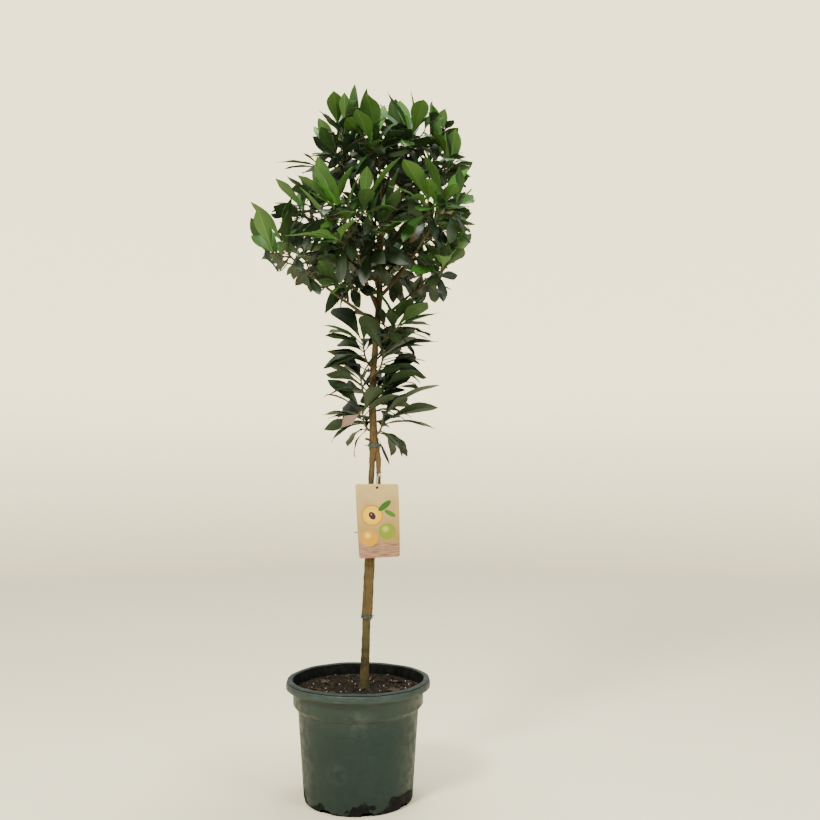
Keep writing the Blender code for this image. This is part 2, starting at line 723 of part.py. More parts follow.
def make_soil(material):
    """The filled inside of the pot, up to the level the trunk stands on."""
    inset = WALL + SOIL_CLEARANCE
    inner_foot = FOOT_RADIUS - inset
    profile = (
        (0, WALL + SOIL_CLEARANCE),
        (inner_foot - 0.005, WALL + SOIL_CLEARANCE),
        (inner_foot, FOOT_ROUND + 0.001),
        (BODY_RADIUS - inset, STEP_BOTTOM + 0.001),
        (NECK_RADIUS - inset, NECK_BOTTOM + 0.001),
        (NECK_RADIUS - inset, SOIL_TOP),
        (0, SOIL_TOP),
    )
    return add_object("soil", spun("soil", profile, POT_STEPS), material)


# Card, string and ties


def make_card(material):
    """A hanging card with round corners and a hole, twisted along its height."""
    outline = []
    for corner, (sign_x, sign_z) in enumerate(((1, 1), (-1, 1), (-1, -1), (1, -1))):
        for step in range(4):
            angle = math.pi / 2 * (corner + step / 3)
            x = sign_x * (CARD_WIDTH / 2 - CARD_CORNER) + CARD_CORNER * math.cos(angle)
            z = sign_z * (CARD_HEIGHT / 2 - CARD_CORNER) + CARD_CORNER * math.sin(angle)
            outline.append(Vector((x, -CARD_THICKNESS / 2, z - CARD_HEIGHT / 2)))
    bm = bmesh.new()
    face = bm.faces.new([bm.verts.new(point) for point in outline])
    grown = bmesh.ops.extrude_face_region(bm, geom=[face])
    moved = [item for item in grown["geom"] if isinstance(item, bmesh.types.BMVert)]
    bmesh.ops.translate(bm, verts=moved, vec=(0, CARD_THICKNESS, 0))
    card = add_object("card", mesh_from_bmesh("card", bm), material)
    bm = bmesh.new()
    bmesh.ops.create_cone(
        bm,
        cap_ends=True,
        segments=12,
        radius1=CARD_HOLE,
        radius2=CARD_HOLE,
        depth=4 * CARD_THICKNESS,
        matrix=Matrix.Translation((0, 0, -CARD_HOLE_DROP)) @ Matrix.Rotation(math.pi / 2, 4, "X"),
    )
    cutter = add_object("card_hole_cutter", mesh_from_bmesh("card_hole_cutter", bm), material)
    cut = card.modifiers.new("hole", "BOOLEAN")
    cut.operation = "DIFFERENCE"
    cut.solver = "EXACT"
    cut.object = cutter
    applied(card)
    bpy.data.objects.remove(cutter, do_unlink=True)
    bm = bmesh.new()
    bm.from_mesh(card.data)
    hidden = [face for face in bm.faces if face.normal.y > -0.5]
    bmesh.ops.delete(bm, geom=hidden, context="FACES")
    for step in range(1, CARD_STEPS):
        cut_at = Vector((0, 0, -CARD_HEIGHT * step / CARD_STEPS))
        everything = list(bm.verts) + list(bm.edges) + list(bm.faces)
        bmesh.ops.bisect_plane(bm, geom=everything, plane_co=cut_at, plane_no=(0, 0, 1))
    bmesh.ops.triangulate(bm, faces=bm.faces)
    for vert in bm.verts:
        down = -vert.co.z / CARD_HEIGHT
        twist = Matrix.Rotation(CARD_TWIST * down, 4, "Z")
        shift = Vector((CARD_FOOT_SHIFT * down, -0.004 * down, 0))
        vert.co = CARD_TOP + shift + twist @ vert.co
    bm.normal_update()
    bmesh.ops.solidify(bm, geom=list(bm.faces), thickness=CARD_THICKNESS)
    bmesh.ops.triangulate(bm, faces=bm.faces)
    bmesh.ops.recalc_face_normals(bm, faces=bm.faces)
    bm.to_mesh(card.data)
    bm.free()
    return card


def closed_loop(points, radius, sides):
    """A closed ring of string through the given points, smoothed between them."""
    route = []
    count = len(points)
    for index in range(count):
        a, b, c, d = (points[(index + k) % count] for k in (-1, 0, 1, 2))
        for step in range(LOOP_STEPS):
            t = step / LOOP_STEPS
            route.append(
                b
                + (c - a) * (0.5 * t)
                + (a * 2 - b * 5 + c * 4 - d) * (0.5 * t * t)
                + (b * 3 - a - c * 3 + d) * (0.5 * t * t * t)
            )
    total = len(route)
    verts = []
    faces = []
    side = None
    for index, point in enumerate(route):
        along = (route[(index + 1) % total] - route[index - 1]).normalized()
        side = along.orthogonal() if side is None else side
        side = (side - along * side.dot(along)).normalized()
        up = along.cross(side)
        for corner in range(sides):
            angle = math.tau * corner / sides
            verts.append(point + (side * math.cos(angle) + up * math.sin(angle)) * radius)
    first_along = (route[1] - route[-1]).normalized()
    start_side = (verts[0] - route[0]).normalized()
    carried = (side - first_along * side.dot(first_along)).normalized()
    slip = round(
        math.atan2(first_along.dot(carried.cross(start_side)), carried.dot(start_side))
        / (math.tau / sides)
    )
    for ring in range(total):
        shift = slip if ring == total - 1 else 0
        for corner in range(sides):
            a = ring * sides + corner
            b = ring * sides + (corner + 1) % sides
            c = (ring + 1) % total * sides + (corner + 1 - shift) % sides
            d = (ring + 1) % total * sides + (corner - shift) % sides
            faces.append((a, b, c))
            faces.append((a, c, d))
    return verts, faces


def make_string(material):
    """The string that holds the card: round the second stem and through the card's hole."""
    stem, radius = limb_at(SECOND_STEM, STRING_HEIGHT, SECOND_STEM_FORWARD)
    reach = radius + STRING_RADIUS + STRING_CLEARANCE
    hole = CARD_TOP - Vector((0, 0, CARD_HOLE_DROP))
    points = (
        stem + Vector((0, reach, 0.0010)),
        stem + Vector((-reach * 1.02, 0.001, 0)),
        stem + Vector((-reach * 0.72, -reach * 0.95, -0.0040)),
        hole + Vector((-0.001, 0.0045, 0.0120)),
        hole + Vector((0, 0.0028, 0.0033)),
        hole + Vector((0, -0.0026, 0.0033)),
        hole + Vector((0.001, -0.0024, 0.0115)),
        stem + Vector((-reach * 0.10, -reach - 0.0042, -0.0080)),
        stem + Vector((reach * 0.76, -reach * 0.92, -0.0025)),
        stem + Vector((reach * 1.04, 0.001, 0)),
    )
    mesh = mesh_from_solid("card_string", closed_loop(points, STRING_RADIUS, 4))
    return add_object("card_string", mesh, material)


def band_solid(middle, radius_x, radius_y):
    """A flat band tied round stems: an upright oval ring."""
    verts = []
    faces = []
    for step in range(TIE_STEPS):
        angle = math.tau * step / TIE_STEPS
        for grow, rise in ((0, -0.5), (TIE_THICKNESS, -0.5), (TIE_THICKNESS, 0.5), (0, 0.5)):
            x = (radius_x + grow) * math.cos(angle)
            y = (radius_y + grow) * math.sin(angle)
            verts.append(middle + Vector((x, y, rise * TIE_HEIGHT)))
    for step in range(TIE_STEPS):
        following = (step + 1) % TIE_STEPS
        for corner in range(4):
            a = step * 4 + corner
            b = following * 4 + corner
            c = following * 4 + (corner + 1) % 4
            d = step * 4 + (corner + 1) % 4
            faces.append((a, b, c))
            faces.append((a, c, d))
    return verts, faces


def make_tie(name, middle, radius_x, radius_y, tail, material):
    """A band, the knot on its outside and the end that sticks out of the knot."""
    middle = Vector(middle)
    tail = Vector(tail)
    out_x = math.copysign(radius_x + KNOT_RADIUS, tail.x) * math.cos(KNOT_TURN)
    out_y = -(radius_y + KNOT_RADIUS) * math.sin(KNOT_TURN)
    knot_at = middle + Vector((out_x, out_y, 0))
    knot_path = [knot_at + Vector((0, 0, KNOT_HALF_HEIGHT * share)) for share in (-1, 0, 1)]
    knot_radii = (KNOT_RADIUS / 2, KNOT_RADIUS, KNOT_RADIUS / 2)
    knot = limb_solid(knot_path, [Vector((0, 0, 1))] * 3, knot_radii, 5)
    tail_radii = (TAIL_RADIUS, TAIL_RADIUS * 0.8)
    end = limb_solid([knot_at, knot_at + tail], [tail.normalized()] * 2, tail_radii, 4)
    return fuse(name, [band_solid(middle, radius_x, radius_y), knot, end], material)


# The whole plant


def main():
    clear_scene()
    pot_plastic = make_material("pot_plastic", (0.045, 0.075, 0.055), 0.55)
    soil_dark = make_material("soil_dark", (0.035, 0.026, 0.018), 0.95)
    bark = make_material("bark", (0.20, 0.13, 0.075), 0.85)
    young_bark = make_material("young_bark", (0.27, 0.17, 0.09), 0.8)
    foliage = make_material("foliage", (0.055, 0.14, 0.035), 0.5)
    card_paper = make_material("card_paper", (0.50, 0.37, 0.22), 0.6)
    string = make_material("string", (0.72, 0.70, 0.64), 0.8)
    tie_film = make_material("tie_film", (0.10, 0.16, 0.14), 0.6)

    make_pot(pot_plastic)
    make_soil(soil_dark)
    limbs, ends = grow_limbs()
    for name, solid in limbs.items():
        material = young_bark if name == "second_stem" else bark
        add_object(name, mesh_from_solid(name, solid), material, smooth_angle=60)
    for name, solids in grow_masses(limbs, ends).items():
        fuse(name, solids, foliage)
    make_card(card_paper)
    make_string(string)
    for name, middle, radius_x, radius_y, tail in TIES:
        make_tie(name, middle, radius_x, radius_y, tail, tie_film)


main()
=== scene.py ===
import math
import random
from math import cos, pi, radians, sin, tau

import bmesh
import bpy
import numpy as np
from mathutils import Matrix, Vector, noise
from mathutils.bvhtree import BVHTree


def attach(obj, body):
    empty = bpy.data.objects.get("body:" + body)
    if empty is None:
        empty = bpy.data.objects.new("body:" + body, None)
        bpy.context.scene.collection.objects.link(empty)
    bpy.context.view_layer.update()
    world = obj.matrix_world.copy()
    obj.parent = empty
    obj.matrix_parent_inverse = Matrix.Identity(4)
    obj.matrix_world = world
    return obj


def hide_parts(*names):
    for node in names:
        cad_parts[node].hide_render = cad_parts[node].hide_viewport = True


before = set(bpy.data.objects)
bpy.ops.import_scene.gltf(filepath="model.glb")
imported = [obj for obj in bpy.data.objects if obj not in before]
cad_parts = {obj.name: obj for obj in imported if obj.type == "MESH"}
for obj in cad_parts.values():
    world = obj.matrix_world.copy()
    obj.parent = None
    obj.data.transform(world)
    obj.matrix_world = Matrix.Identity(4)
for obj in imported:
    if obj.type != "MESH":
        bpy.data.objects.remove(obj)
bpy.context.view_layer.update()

# A young grafted lucuma in a nursery pot. Metres, Z up, the front looks along -Y.
print("frame loaded")

goldenTurn = radians(137.5)
gap = 0.0003  # what the solids keep to each other
upright = Vector((0, 0, 1))
seeds = {"between": 71, "second": 72, "dress": 29, "soil": 5}  # one for each series of draws


def drawn(chance, ranges):
    # one value from each range, in their order
    return {key: chance.uniform(*ends) for key, ends in ranges.items()}


# Camera and light

camera = {
    "place": (0.134, -2.57, 0.93),
    "lens": 43.46,
    "shift": 29 / 820,  # the photo looks level, with its horizon a little under the middle
}

lamps = (  # name, place, size, watts, colour
    ("keyLight", (-1.5, -2.6, 3.3), 0.9, 190, (1.0, 0.97, 0.92)),
    ("fillLight", (2.2, -2.0, 2.2), 1.2, 55, (0.97, 0.98, 1.0)),
    ("topLight", (0.3, 0.5, 4.0), 1.2, 130, (1.0, 0.99, 0.96)),
)
lampsAim = Vector((0.03, 0, 0.95))
sky = {"Color": (1.0, 0.985, 0.95), "Strength": 0.72}


def linked(name, data):
    item = bpy.data.objects.new(name, data)
    bpy.context.scene.collection.objects.link(item)
    return item


def makeCamera():
    data = bpy.data.cameras.new("camera")
    data.lens = camera["lens"]
    data.sensor_width = 36
    data.shift_y = camera["shift"]
    data.clip_end = 60
    item = linked("camera", data)
    item.location = camera["place"]
    item.rotation_euler = (pi / 2, 0, 0)
    bpy.context.scene.camera = item


def makeLamps():
    for name, place, size, watts, colour in lamps:
        data = bpy.data.lights.new(name, "AREA")
        data.shape = "DISK"
        data.size = size
        data.energy = watts
        data.color = colour
        item = linked(name, data)
        item.location = place
        item.rotation_euler = (lampsAim - Vector(place)).to_track_quat("-Z", "Y").to_euler()
    world = bpy.data.worlds.new("softRoom")
    bpy.context.scene.world = world
    world.use_nodes = True
    feed(world.node_tree, world.node_tree.nodes["Background"].inputs, sky)


# Materials


def feed(tree, sockets, values):
    # links what comes from a node and sets the rest
    for key, value in values.items():
        socket = sockets[key]
        if isinstance(value, bpy.types.NodeSocket):
            tree.links.new(value, socket)
        else:
            socket.default_value = (*value, 1) if socket.type == "RGBA" else value


def put(tree, kind, values=(), **settings):
    made = tree.nodes.new("ShaderNode" + kind)
    for key, value in settings.items():
        setattr(made, key, value)
    feed(tree, made.inputs, dict(values))
    return made.outputs


def mixed(tree, share, first, second):
    # colour: first where share is 0, second where it is 1
    return put(tree, "Mix", {0: share, 6: first, 7: second}, data_type="RGBA")[2]


def ranged(tree, value, low, high, toLow=0.0, toHigh=1.0):
    return put(tree, "MapRange", {0: value, 1: low, 2: high, 3: toLow, 4: toHigh})[0]


def sums(tree, operation, first, *others):
    for other in others:
        first = put(tree, "Math", {0: first, 1: other}, operation=operation)[0]
    return first


def times(tree, *values):
    return sums(tree, "MULTIPLY", *values)


def plus(tree, *values):
    return sums(tree, "ADD", *values)


def away(tree, place, operation="LENGTH", point=(0, 0, 0)):
    # how far a place is from a point, or from the origin
    return put(tree, "VectorMath", {0: place, 1: point}, operation=operation)["Value"]


def clouds(tree, place, scale, detail, roughness=0.5):
    values = {"Vector": place, "Scale": scale, "Detail": detail, "Roughness": roughness}
    return put(tree, "TexNoise", values)[0]


def stretched(tree, place, scale):
    return put(tree, "Mapping", {"Vector": place, "Scale": scale})[0]


def plainMaterial(name, colour, roughness, specular=0.5):
    material = bpy.data.materials.new(name)
    material.use_nodes = True
    tree = material.node_tree
    shader = tree.nodes["Principled BSDF"].inputs
    feed(tree, shader, {"Base Color": colour, "Roughness": roughness, "Specular IOR Level": specular})
    return material, tree, shader


def placedMaterial(*look):
    # a material with the place of each point on it
    material, tree, shader = plainMaterial(*look)
    return material, tree, shader, put(tree, "TexCoord")["Object"]


def axesOf(tree, place):
    return put(tree, "SeparateXYZ", {0: place})


def bumped(tree, shader, height, strength, distance):
    relief = put(tree, "Bump", {"Strength": strength, "Distance": distance, "Height": height})[0]
    tree.links.new(relief, shader["Normal"])


def newGroup(name, third, result):
    # a node group that takes a place, a scale and one more value, and gives one result
    tree = bpy.data.node_groups.new(name, "ShaderNodeTree")
    for label, side, kind in (
        ("Vector", "INPUT", "Vector"),
        ("Scale", "INPUT", "Float"),
        (third, "INPUT", "Float"),
        (result, "OUTPUT", "Float"),
    ):
        tree.interface.new_socket(label, in_out=side, socket_type="NodeSocket" + kind)
    return tree, tree.nodes.new("NodeGroupInput").outputs, tree.nodes.new("NodeGroupOutput").inputs[0]


def makeGroups():
    # patches: soft cloudy patches, as a mask
    tree, (place, scale, edge, *_), result = newGroup("patches", "Edge", "Mask")
    low = sums(tree, "SUBTRACT", 0.5, edge)
    tree.links.new(ranged(tree, clouds(tree, place, scale, 5.0), low, plus(tree, 0.5, edge)), result)

    # flecks: small round dots, as a mask
    tree, (place, scale, size, *_), result = newGroup("flecks", "Size", "Mask")
    cells = put(tree, "TexVoronoi", {"Vector": place, "Scale": scale})["Distance"]
    tree.links.new(ranged(tree, cells, times(tree, size, 0.4), size, 1.0, 0.0), result)

    # grain: long streaks along Z, as a height
    tree, (place, scale, length, *_), result = newGroup("grain", "Length", "Height")
    squeeze = put(tree, "CombineXYZ", {0: 1.0, 1: 1.0, 2: length})[0]
    along = put(tree, "VectorMath", {0: place, 1: squeeze}, operation="MULTIPLY")[0]
    tree.links.new(clouds(tree, along, scale, 4.0), result)


def grouped(tree, name, place, scale, third):
    # one of the three groups, with this material's own values
    return put(tree, "Group", {0: place, 1: scale, 2: third}, node_tree=bpy.data.node_groups[name])[0]


# Meshes and pieces


def show(name, mesh, materials, nodes=(), smooth=None):
    item = linked(name, mesh)
    for material in materials:
        mesh.materials.append(material)
    if smooth is not None:
        mesh.shade_smooth()
        mesh.set_sharp_from_angle(angle=radians(smooth))
    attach(item, "root")
    if nodes:
        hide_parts(*nodes)


def meshOf(bm, name):
    mesh = bpy.data.meshes.new(name)
    bm.to_mesh(mesh)
    bm.free()
    return mesh


def finished(name, *drafts):
    # the first draft's mesh as it stands, with a second one cut out of it
    items = [linked(name, data) for data in drafts]
    if len(items) > 1:
        cut = items[0].modifiers.new("cut", "BOOLEAN")
        cut.operation = "DIFFERENCE"
        cut.solver = "EXACT"
        cut.object = items[1]
    mesh = bpy.data.meshes.new_from_object(items[0].evaluated_get(bpy.context.evaluated_depsgraph_get()))
    for item in items:
        bpy.data.objects.remove(item)
    mesh.materials.clear()
    return mesh


def tubeMesh(name, *sets):
    # round limbs in one mesh; a set has paths of points and radii, a number of sides, and whether they close
    bm = bmesh.new()
    for paths, sides, closed in sets:
        curve = bpy.data.curves.new(name, "CURVE")
        curve.dimensions = "3D"
        curve.bevel_depth = 1.0
        curve.bevel_resolution = (sides - 4) // 2
        curve.use_fill_caps = True
        for points, radii in paths:
            spline = curve.splines.new("POLY")
            spline.points.add(len(points) - 1)
            spline.use_cyclic_u = closed
            for knot, point, radius in zip(spline.points, points, radii):
                knot.co = (*point, 1)
                knot.radius = radius
        bm.from_mesh(finished(name + "Draft", curve))
    bmesh.ops.remove_doubles(bm, verts=bm.verts, dist=0.000001)
    return meshOf(bm, name)


def joined(name, parts):
    # one mesh of many parts, each with its points, faces and the faces' materials
    verts = []
    faces = []
    looks = []
    for points, partFaces, partLooks in parts:
        first = len(verts)
        verts.extend(points.tolist())
        faces.extend([[first + k for k in face] for face in partFaces])
        looks.extend(partLooks)
    mesh = bpy.data.meshes.new(name)
    mesh.from_pydata(verts, [], faces)
    mesh.polygons.foreach_set("material_index", looks)
    mesh.update()
    return mesh


def spun(profile, steps):
    bm = bmesh.new()
    verts = [bm.verts.new((radius, 0, z)) for radius, z in profile]
    outline = verts + [bm.edges.new(pair) for pair in zip(verts, verts[1:])]
    bmesh.ops.spin(bm, geom=outline, axis=upright, cent=(0, 0, 0), angle=tau, steps=steps, use_merge=True)
    bmesh.ops.remove_doubles(bm, verts=bm.verts, dist=0.00001)
    bmesh.ops.recalc_face_normals(bm, faces=bm.faces)
    return bm


# Floor and wall

studio = {
    "paper": (0.91, 0.82, 0.52),
    "floor": (0.98, 0.91, 0.62),
    "roughness": 0.85,
    "glowFrom": 0.22,  # of the floor's reach
    "floorGlow": 0.44,
    "footGlow": 0.60,
    "wallGlow": 2.10,
    "floorReach": 4.6,
    "curve": 1.3,
    "wallTop": 6.4,
    "sides": 96,
}


def makeStage():
    reach, curve, sides = studio["floorReach"], studio["curve"], studio["sides"]
    bm = bmesh.new()
    bmesh.ops.create_circle(bm, cap_ends=True, segments=sides, radius=reach + 0.02)
    floor = linked("floor", meshOf(bm, "floor"))
    turns = [k * pi / 24 for k in range(13)]
    bend = [(reach + curve * sin(turn), curve * (1 - cos(turn))) for turn in turns]
    bm = spun([*bend, (reach + curve, studio["wallTop"])], sides)
    wall = linked("backdrop", meshOf(bm, "backdrop"))
    wall.data.shade_smooth()
    # the floor glows a little more with distance and the wall with height, so they run into each other
    for item, colour in ((floor, studio["floor"]), (wall, studio["paper"])):
        material, tree, shader, place = placedMaterial(item.name + "Paper", colour, studio["roughness"])
        if item is floor:
            far = away(tree, place)
            glow = ranged(tree, far, studio["glowFrom"] * reach, reach, 0, studio["floorGlow"])
        else:
            height = axesOf(tree, place)[2]
            glow = ranged(tree, height, 0, curve, studio["footGlow"], studio["wallGlow"])
        feed(tree, shader, {"Emission Color": colour, "Emission Strength": glow})
        item.data.materials.append(material)
    for look in ("visible_diffuse", "visible_glossy", "visible_shadow"):
        setattr(wall, look, False)


# The growing rule, as in the part's source

seats = {"low": 0.48, "high": 0.888}

trunkRows = (  # height, middle, radius
    (0.2803, 0.0150, 0.0155), (0.2880, 0.0152, 0.0130), (0.3020, 0.0156, 0.0120), (0.4000, 0.0190, 0.0107),
    (0.4560, 0.0208, 0.0100), (seats["low"] - 0.0004, 0.0226, 0.0136), (seats["low"], 0.0168, 0.0074),
    (0.5400, 0.0198, 0.0073), (0.6200, 0.0235, 0.0073), (0.7200, 0.0284, 0.0073), (0.8240, 0.0332, 0.0072),
    (seats["high"], 0.0364, 0.0074), (seats["high"] + 0.0004, 0.0440, 0.0160), (0.9040, 0.0420, 0.0150),
    (0.9380, 0.0390, 0.0106), (1.0300, 0.0362, 0.0094), (1.1000, 0.0385, 0.0086), (1.1750, 0.0440, 0.0080),
    (1.2400, 0.0500, 0.0084), (1.3000, 0.0545, 0.0082), (1.3700, 0.0570, 0.0068), (1.4600, 0.0585, 0.0054),
    (1.5600, 0.0590, 0.0040),
)

secondRows = (
    (seats["low"] + gap, 0.0310, 0.0064), (0.5400, 0.0330, 0.0064), (0.6200, 0.0367, 0.0064),
    (0.7200, 0.0455, 0.0064), (0.8000, 0.0515, 0.0064), (0.8420, 0.0528, 0.0063), (0.8700, 0.0522, 0.0062),
    (seats["high"] - gap, 0.0510, 0.0062),
)
secondForward = -0.005

crownRows = (  # height, middle, reach
    (0.880, 0.050, 0.110), (0.940, 0.052, 0.155), (1.230, 0.055, 0.160), (1.300, 0.050, 0.190),
    (1.370, 0.018, 0.254), (1.440, 0.008, 0.298), (1.540, 0.012, 0.302), (1.610, 0.035, 0.275),
    (1.660, 0.085, 0.215), (1.720, 0.078, 0.200), (1.780, 0.060, 0.184), (1.836, 0.060, 0.096),
)

boughRows = (  # name, height on the trunk, tip, radius at the trunk and at the tip, rise in degrees
    ("bough_far_left", 1.232, (-0.093, -0.030, 1.330), 0.0046, 0.0032, 34),
    ("bough_front_left", 1.272, (0.002, -0.085, 1.392), 0.0050, 0.0035, 42),
    ("bough_front_right", 1.306, (0.152, -0.060, 1.408), 0.0046, 0.0033, 36),
    ("bough_right_low", 1.246, (0.128, 0.006, 1.300), 0.0044, 0.0033, 30),
    ("bough_left_upper", 1.338, (-0.086, 0.050, 1.455), 0.0042, 0.0031, 40),
    ("bough_back_left", 1.290, (-0.052, 0.118, 1.385), 0.0042, 0.0031, 36),
    ("bough_back", 1.262, (0.052, 0.145, 1.335), 0.0044, 0.0031, 32),
    ("bough_back_right", 1.352, (0.140, 0.105, 1.440), 0.0042, 0.0031, 38),
    ("bough_right_upper", 1.412, (0.170, 0.012, 1.552), 0.0038, 0.0028, 44),
    ("bough_top_left_low", 1.452, (-0.004, -0.020, 1.590), 0.0034, 0.0026, 50),
    ("bough_top_left", 1.492, (-0.002, 0.042, 1.640), 0.0032, 0.0025, 54),
    ("bough_top_right", 1.520, (0.104, 0.010, 1.630), 0.0032, 0.0025, 54),
    ("bough_top_far_right", 1.480, (0.142, 0.034, 1.622), 0.0032, 0.0025, 48),
    ("bough_top_back", 1.500, (0.064, 0.078, 1.620), 0.0032, 0.0025, 52),
)

# brightness is lower for the masses inside and under the crown: partly their darker green leaves, partly
# painted shade
massRows = (  # name, limb, tip of the stem, side shoots, leaves, turn of the spiral, seed, brightness
    ("leaves_far_left", "bough_far_left", (-0.188, -0.044, 1.425), 3, 7, 200, 11, 0.95),
    ("leaves_left_upper", "bough_left_upper", (-0.150, 0.046, 1.536), 3, 7, 150, 12, 0.62),
    ("leaves_front_left", "bough_front_left", (-0.027, -0.148, 1.482), 3, 7, 170, 13, 1.0),
    ("leaves_front_right", "bough_front_right", (0.214, -0.104, 1.522), 3, 8, 40, 14, 1.0),
    ("leaves_right_low", "bough_right_low", (0.228, 0.002, 1.384), 3, 8, 10, 15, 0.8),
    ("leaves_right_upper", "bough_right_upper", (0.236, 0.014, 1.628), 2, 7, 60, 16, 0.85),
    ("leaves_back_left", "bough_back_left", (-0.094, 0.176, 1.470), 2, 7, 0, 17, 0.8),
    ("leaves_back", "bough_back", (0.042, 0.228, 1.415), 3, 7, 0, 18, 0.85),
    ("leaves_back_right", "bough_back_right", (0.196, 0.164, 1.515), 3, 7, 0, 19, 0.9),
    ("leaves_top_left_low", "bough_top_left_low", (-0.060, -0.036, 1.664), 2, 7, 160, 20, 0.6),
    ("leaves_top_left", "bough_top_left", (-0.048, 0.058, 1.712), 3, 8, 100, 21, 0.55),
    ("leaves_top_right", "bough_top_right", (0.130, 0.004, 1.716), 3, 8, 90, 22, 0.7),
    ("leaves_top_far_right", "bough_top_far_right", (0.200, 0.040, 1.702), 2, 8, 30, 23, 0.65),
    ("leaves_top_back", "bough_top_back", (0.062, 0.132, 1.700), 3, 7, 0, 24, 0.75),
    ("leaves_top_centre", "trunk", (0.050, -0.034, 1.708), 4, 8, 80, 25, 0.75),
    ("leaves_centre_front", 1.385, (0.070, -0.105, 1.468), 2, 7, 0, 26, 0.35),
    ("leaves_centre_back", 1.420, (0.040, 0.090, 1.530), 2, 7, 0, 27, 0.35),
    ("leaves_centre_left", 1.312, (-0.046, -0.024, 1.388), 2, 7, 0, 37, 0.3),
    ("leaves_centre_right", 1.326, (0.124, 0.022, 1.398), 1, 7, 0, 38, 0.25),
    ("leaves_right_under", 1.176, (0.112, -0.024, 1.236), 1, 7, 0, 28, 0.25),
    ("leaves_low_left_1", 1.118, (0.012, -0.014, 1.182), 0, 7, 80, 29, 0.16),
    ("leaves_low_left_2", 1.030, (0.006, -0.008, 1.092), 0, 7, 20, 30, 0.05),
    ("leaves_low_left_3", 0.952, (0.010, -0.012, 1.006), 0, 6, 120, 31, 0.05),
    ("leaves_low_right_1", 1.100, (0.066, -0.016, 1.160), 0, 7, 100, 32, 0.05),
    ("leaves_low_right_2", 1.016, (0.066, -0.008, 1.078), 0, 7, 60, 33, 0.10),
    ("leaves_low_right_3", 0.942, (0.066, -0.014, 0.994), 0, 6, 10, 34, 0.05),
    ("leaves_low_back_1", 1.080, (0.038, 0.032, 1.140), 0, 6, 0, 35, 0.08),
    ("leaves_low_back_2", 0.990, (0.038, 0.032, 1.046), 0, 6, 60, 36, 0.08),
)

massKinds = {  # slack: how far a mass reaches past its neighbours; front: the furthest a leaf points forward
    "crown": {
        "slack": 0.030,
        "length": 0.134,
        "spread": (radians(20), radians(80)),
        "bend": (radians(10), radians(52)),
        "roll": 0.45,
        "front": -1.0,
        "between": 5,
    },
    "spur": {
        "slack": 0.065,
        "length": 0.172,
        "spread": (radians(36), radians(74)),
        "bend": (radians(34), radians(66)),
        "roll": 0.85,
        "front": -0.45,
        "between": 7,
    },
}
openMasses = {  # these get fewer leaves between the others, so that the sky shows
    "leaves_far_left": 1, "leaves_left_upper": 2, "leaves_back_left": 1, "leaves_front_left": 3
}
fullMass = "leaves_far_left"  # gets a second round of them, as the spurs do

twigRule = {
    "handle": 0.36,
    "heart": 0.7,
    "steps": 10,
    "stemRadius": 0.0030,
    "stemTip": 0.0019,
    "shootRadius": 0.0024,
    "shootTip": 0.0016,
    "shootLength": 0.085,
    "shootAngle": radians(50),
    "shootShares": (0.22, 0.74),
    "clearance": 0.0008,
    "clearOfStem": 0.012,
    "shootDraws": {"length": (0.75, 1.15), "around": (-0.3, 0.3)},
    "shootTurn": 1.1,
    "rises": {"stem": 0.9, "shoot": 0.8, "shootEnd": 0.25, "spurlet": 0.7},  # how much each turns upwards
    "tries": (0, 40, -40, 80, -80, 120, -120, 180),
    "spurRise": radians(35),
}

spurletRule = {
    "shares": (0.18, 0.42),
    "steps": 4,
    "forward": 0.55,
    "length": 0.036,
    "lengths": (0.5, 1.2),
    "radius": 0.0013,
    "leaves": 3,
    "leafLength": 0.098,
    "leafLengths": (0.7, 1.2),
    "leafWidths": (0.27, 0.34),
    "bends": (15, 50),
    "spreads": (30, 75),
    "rolls": (-0.5, 0.5),
    "age": 0.85,
}

budRule = {
    "leaves": 3,
    "below": 0.002,
    "length": 0.046,
    "lengths": (0.6, 1.35),
    "widths": (0.24, 0.32),
    "spread": radians(11),
    "spreads": (0.4, 1.3),
    "bend": radians(8),
}

leafRule = {
    "oldShare": 0.82,
    "widths": (0.40, 0.33),
    "root": 0.0013,
    "sections": ((0.36, 0.40), (0.70, 0.46)),
    "droop": 0.16,
    "nearest": 0.004,
    "stretch": 0.055,
    "furthest": 0.9,
    "clearance": 0.0003,
    "clearOfTwig": 0.006,
    "tries": ((0, 1.0), (22, 1.0), (-22, 1.0), (44, 0.9), (-44, 0.9), (12, 0.78), (-66, 0.8), (66, 0.66)),
    "core": 0.42,
    "coreClear": 0.022,
    "above": 0.0006,
    "below": 0.0010,
    "facesUp": 0.8,
}

mainDraws = {  # what chance gives each main leaf, in the order of the draws
    "spread": (-0.14, 0.14),
    "around": (-0.2, 0.2),
    "length": (0.88, 1.12),
    "width": (0.88, 1.1),
    "bend": (0.5, 1.3),
    "roll": (-1, 1),
}
betweenDraws = {  # the same for the leaves between, with the width as a share of the length
    "spread": (-0.16, 0.16),
    "around": (-0.3, 0.3),
    "length": (0.72, 1.04),
    "bend": (0.5, 1.4),
    "width": (0.29, 0.36),
    "roll": (-1, 1),
}


def bezierPath(start, startWay, end, endWay, steps):
    handle = twigRule["handle"] * (end - start).length
    corners = (start, start + startWay * handle, end - endWay * handle, end)
    points = []
    ways = []
    for index in range(steps + 1):
        t = index / steps
        u = 1 - t
        weights = (u * u * u, 3 * u * u * t, 3 * u * t * t, t * t * t)
        slopes = (-u * u, u * u - 2 * u * t, 2 * u * t - t * t, t * t)
        points.append(sum((c * w for c, w in zip(corners, weights)), Vector()))
        ways.append(sum((c * w for c, w in zip(corners, slopes)), Vector()).normalized())
    return points, ways


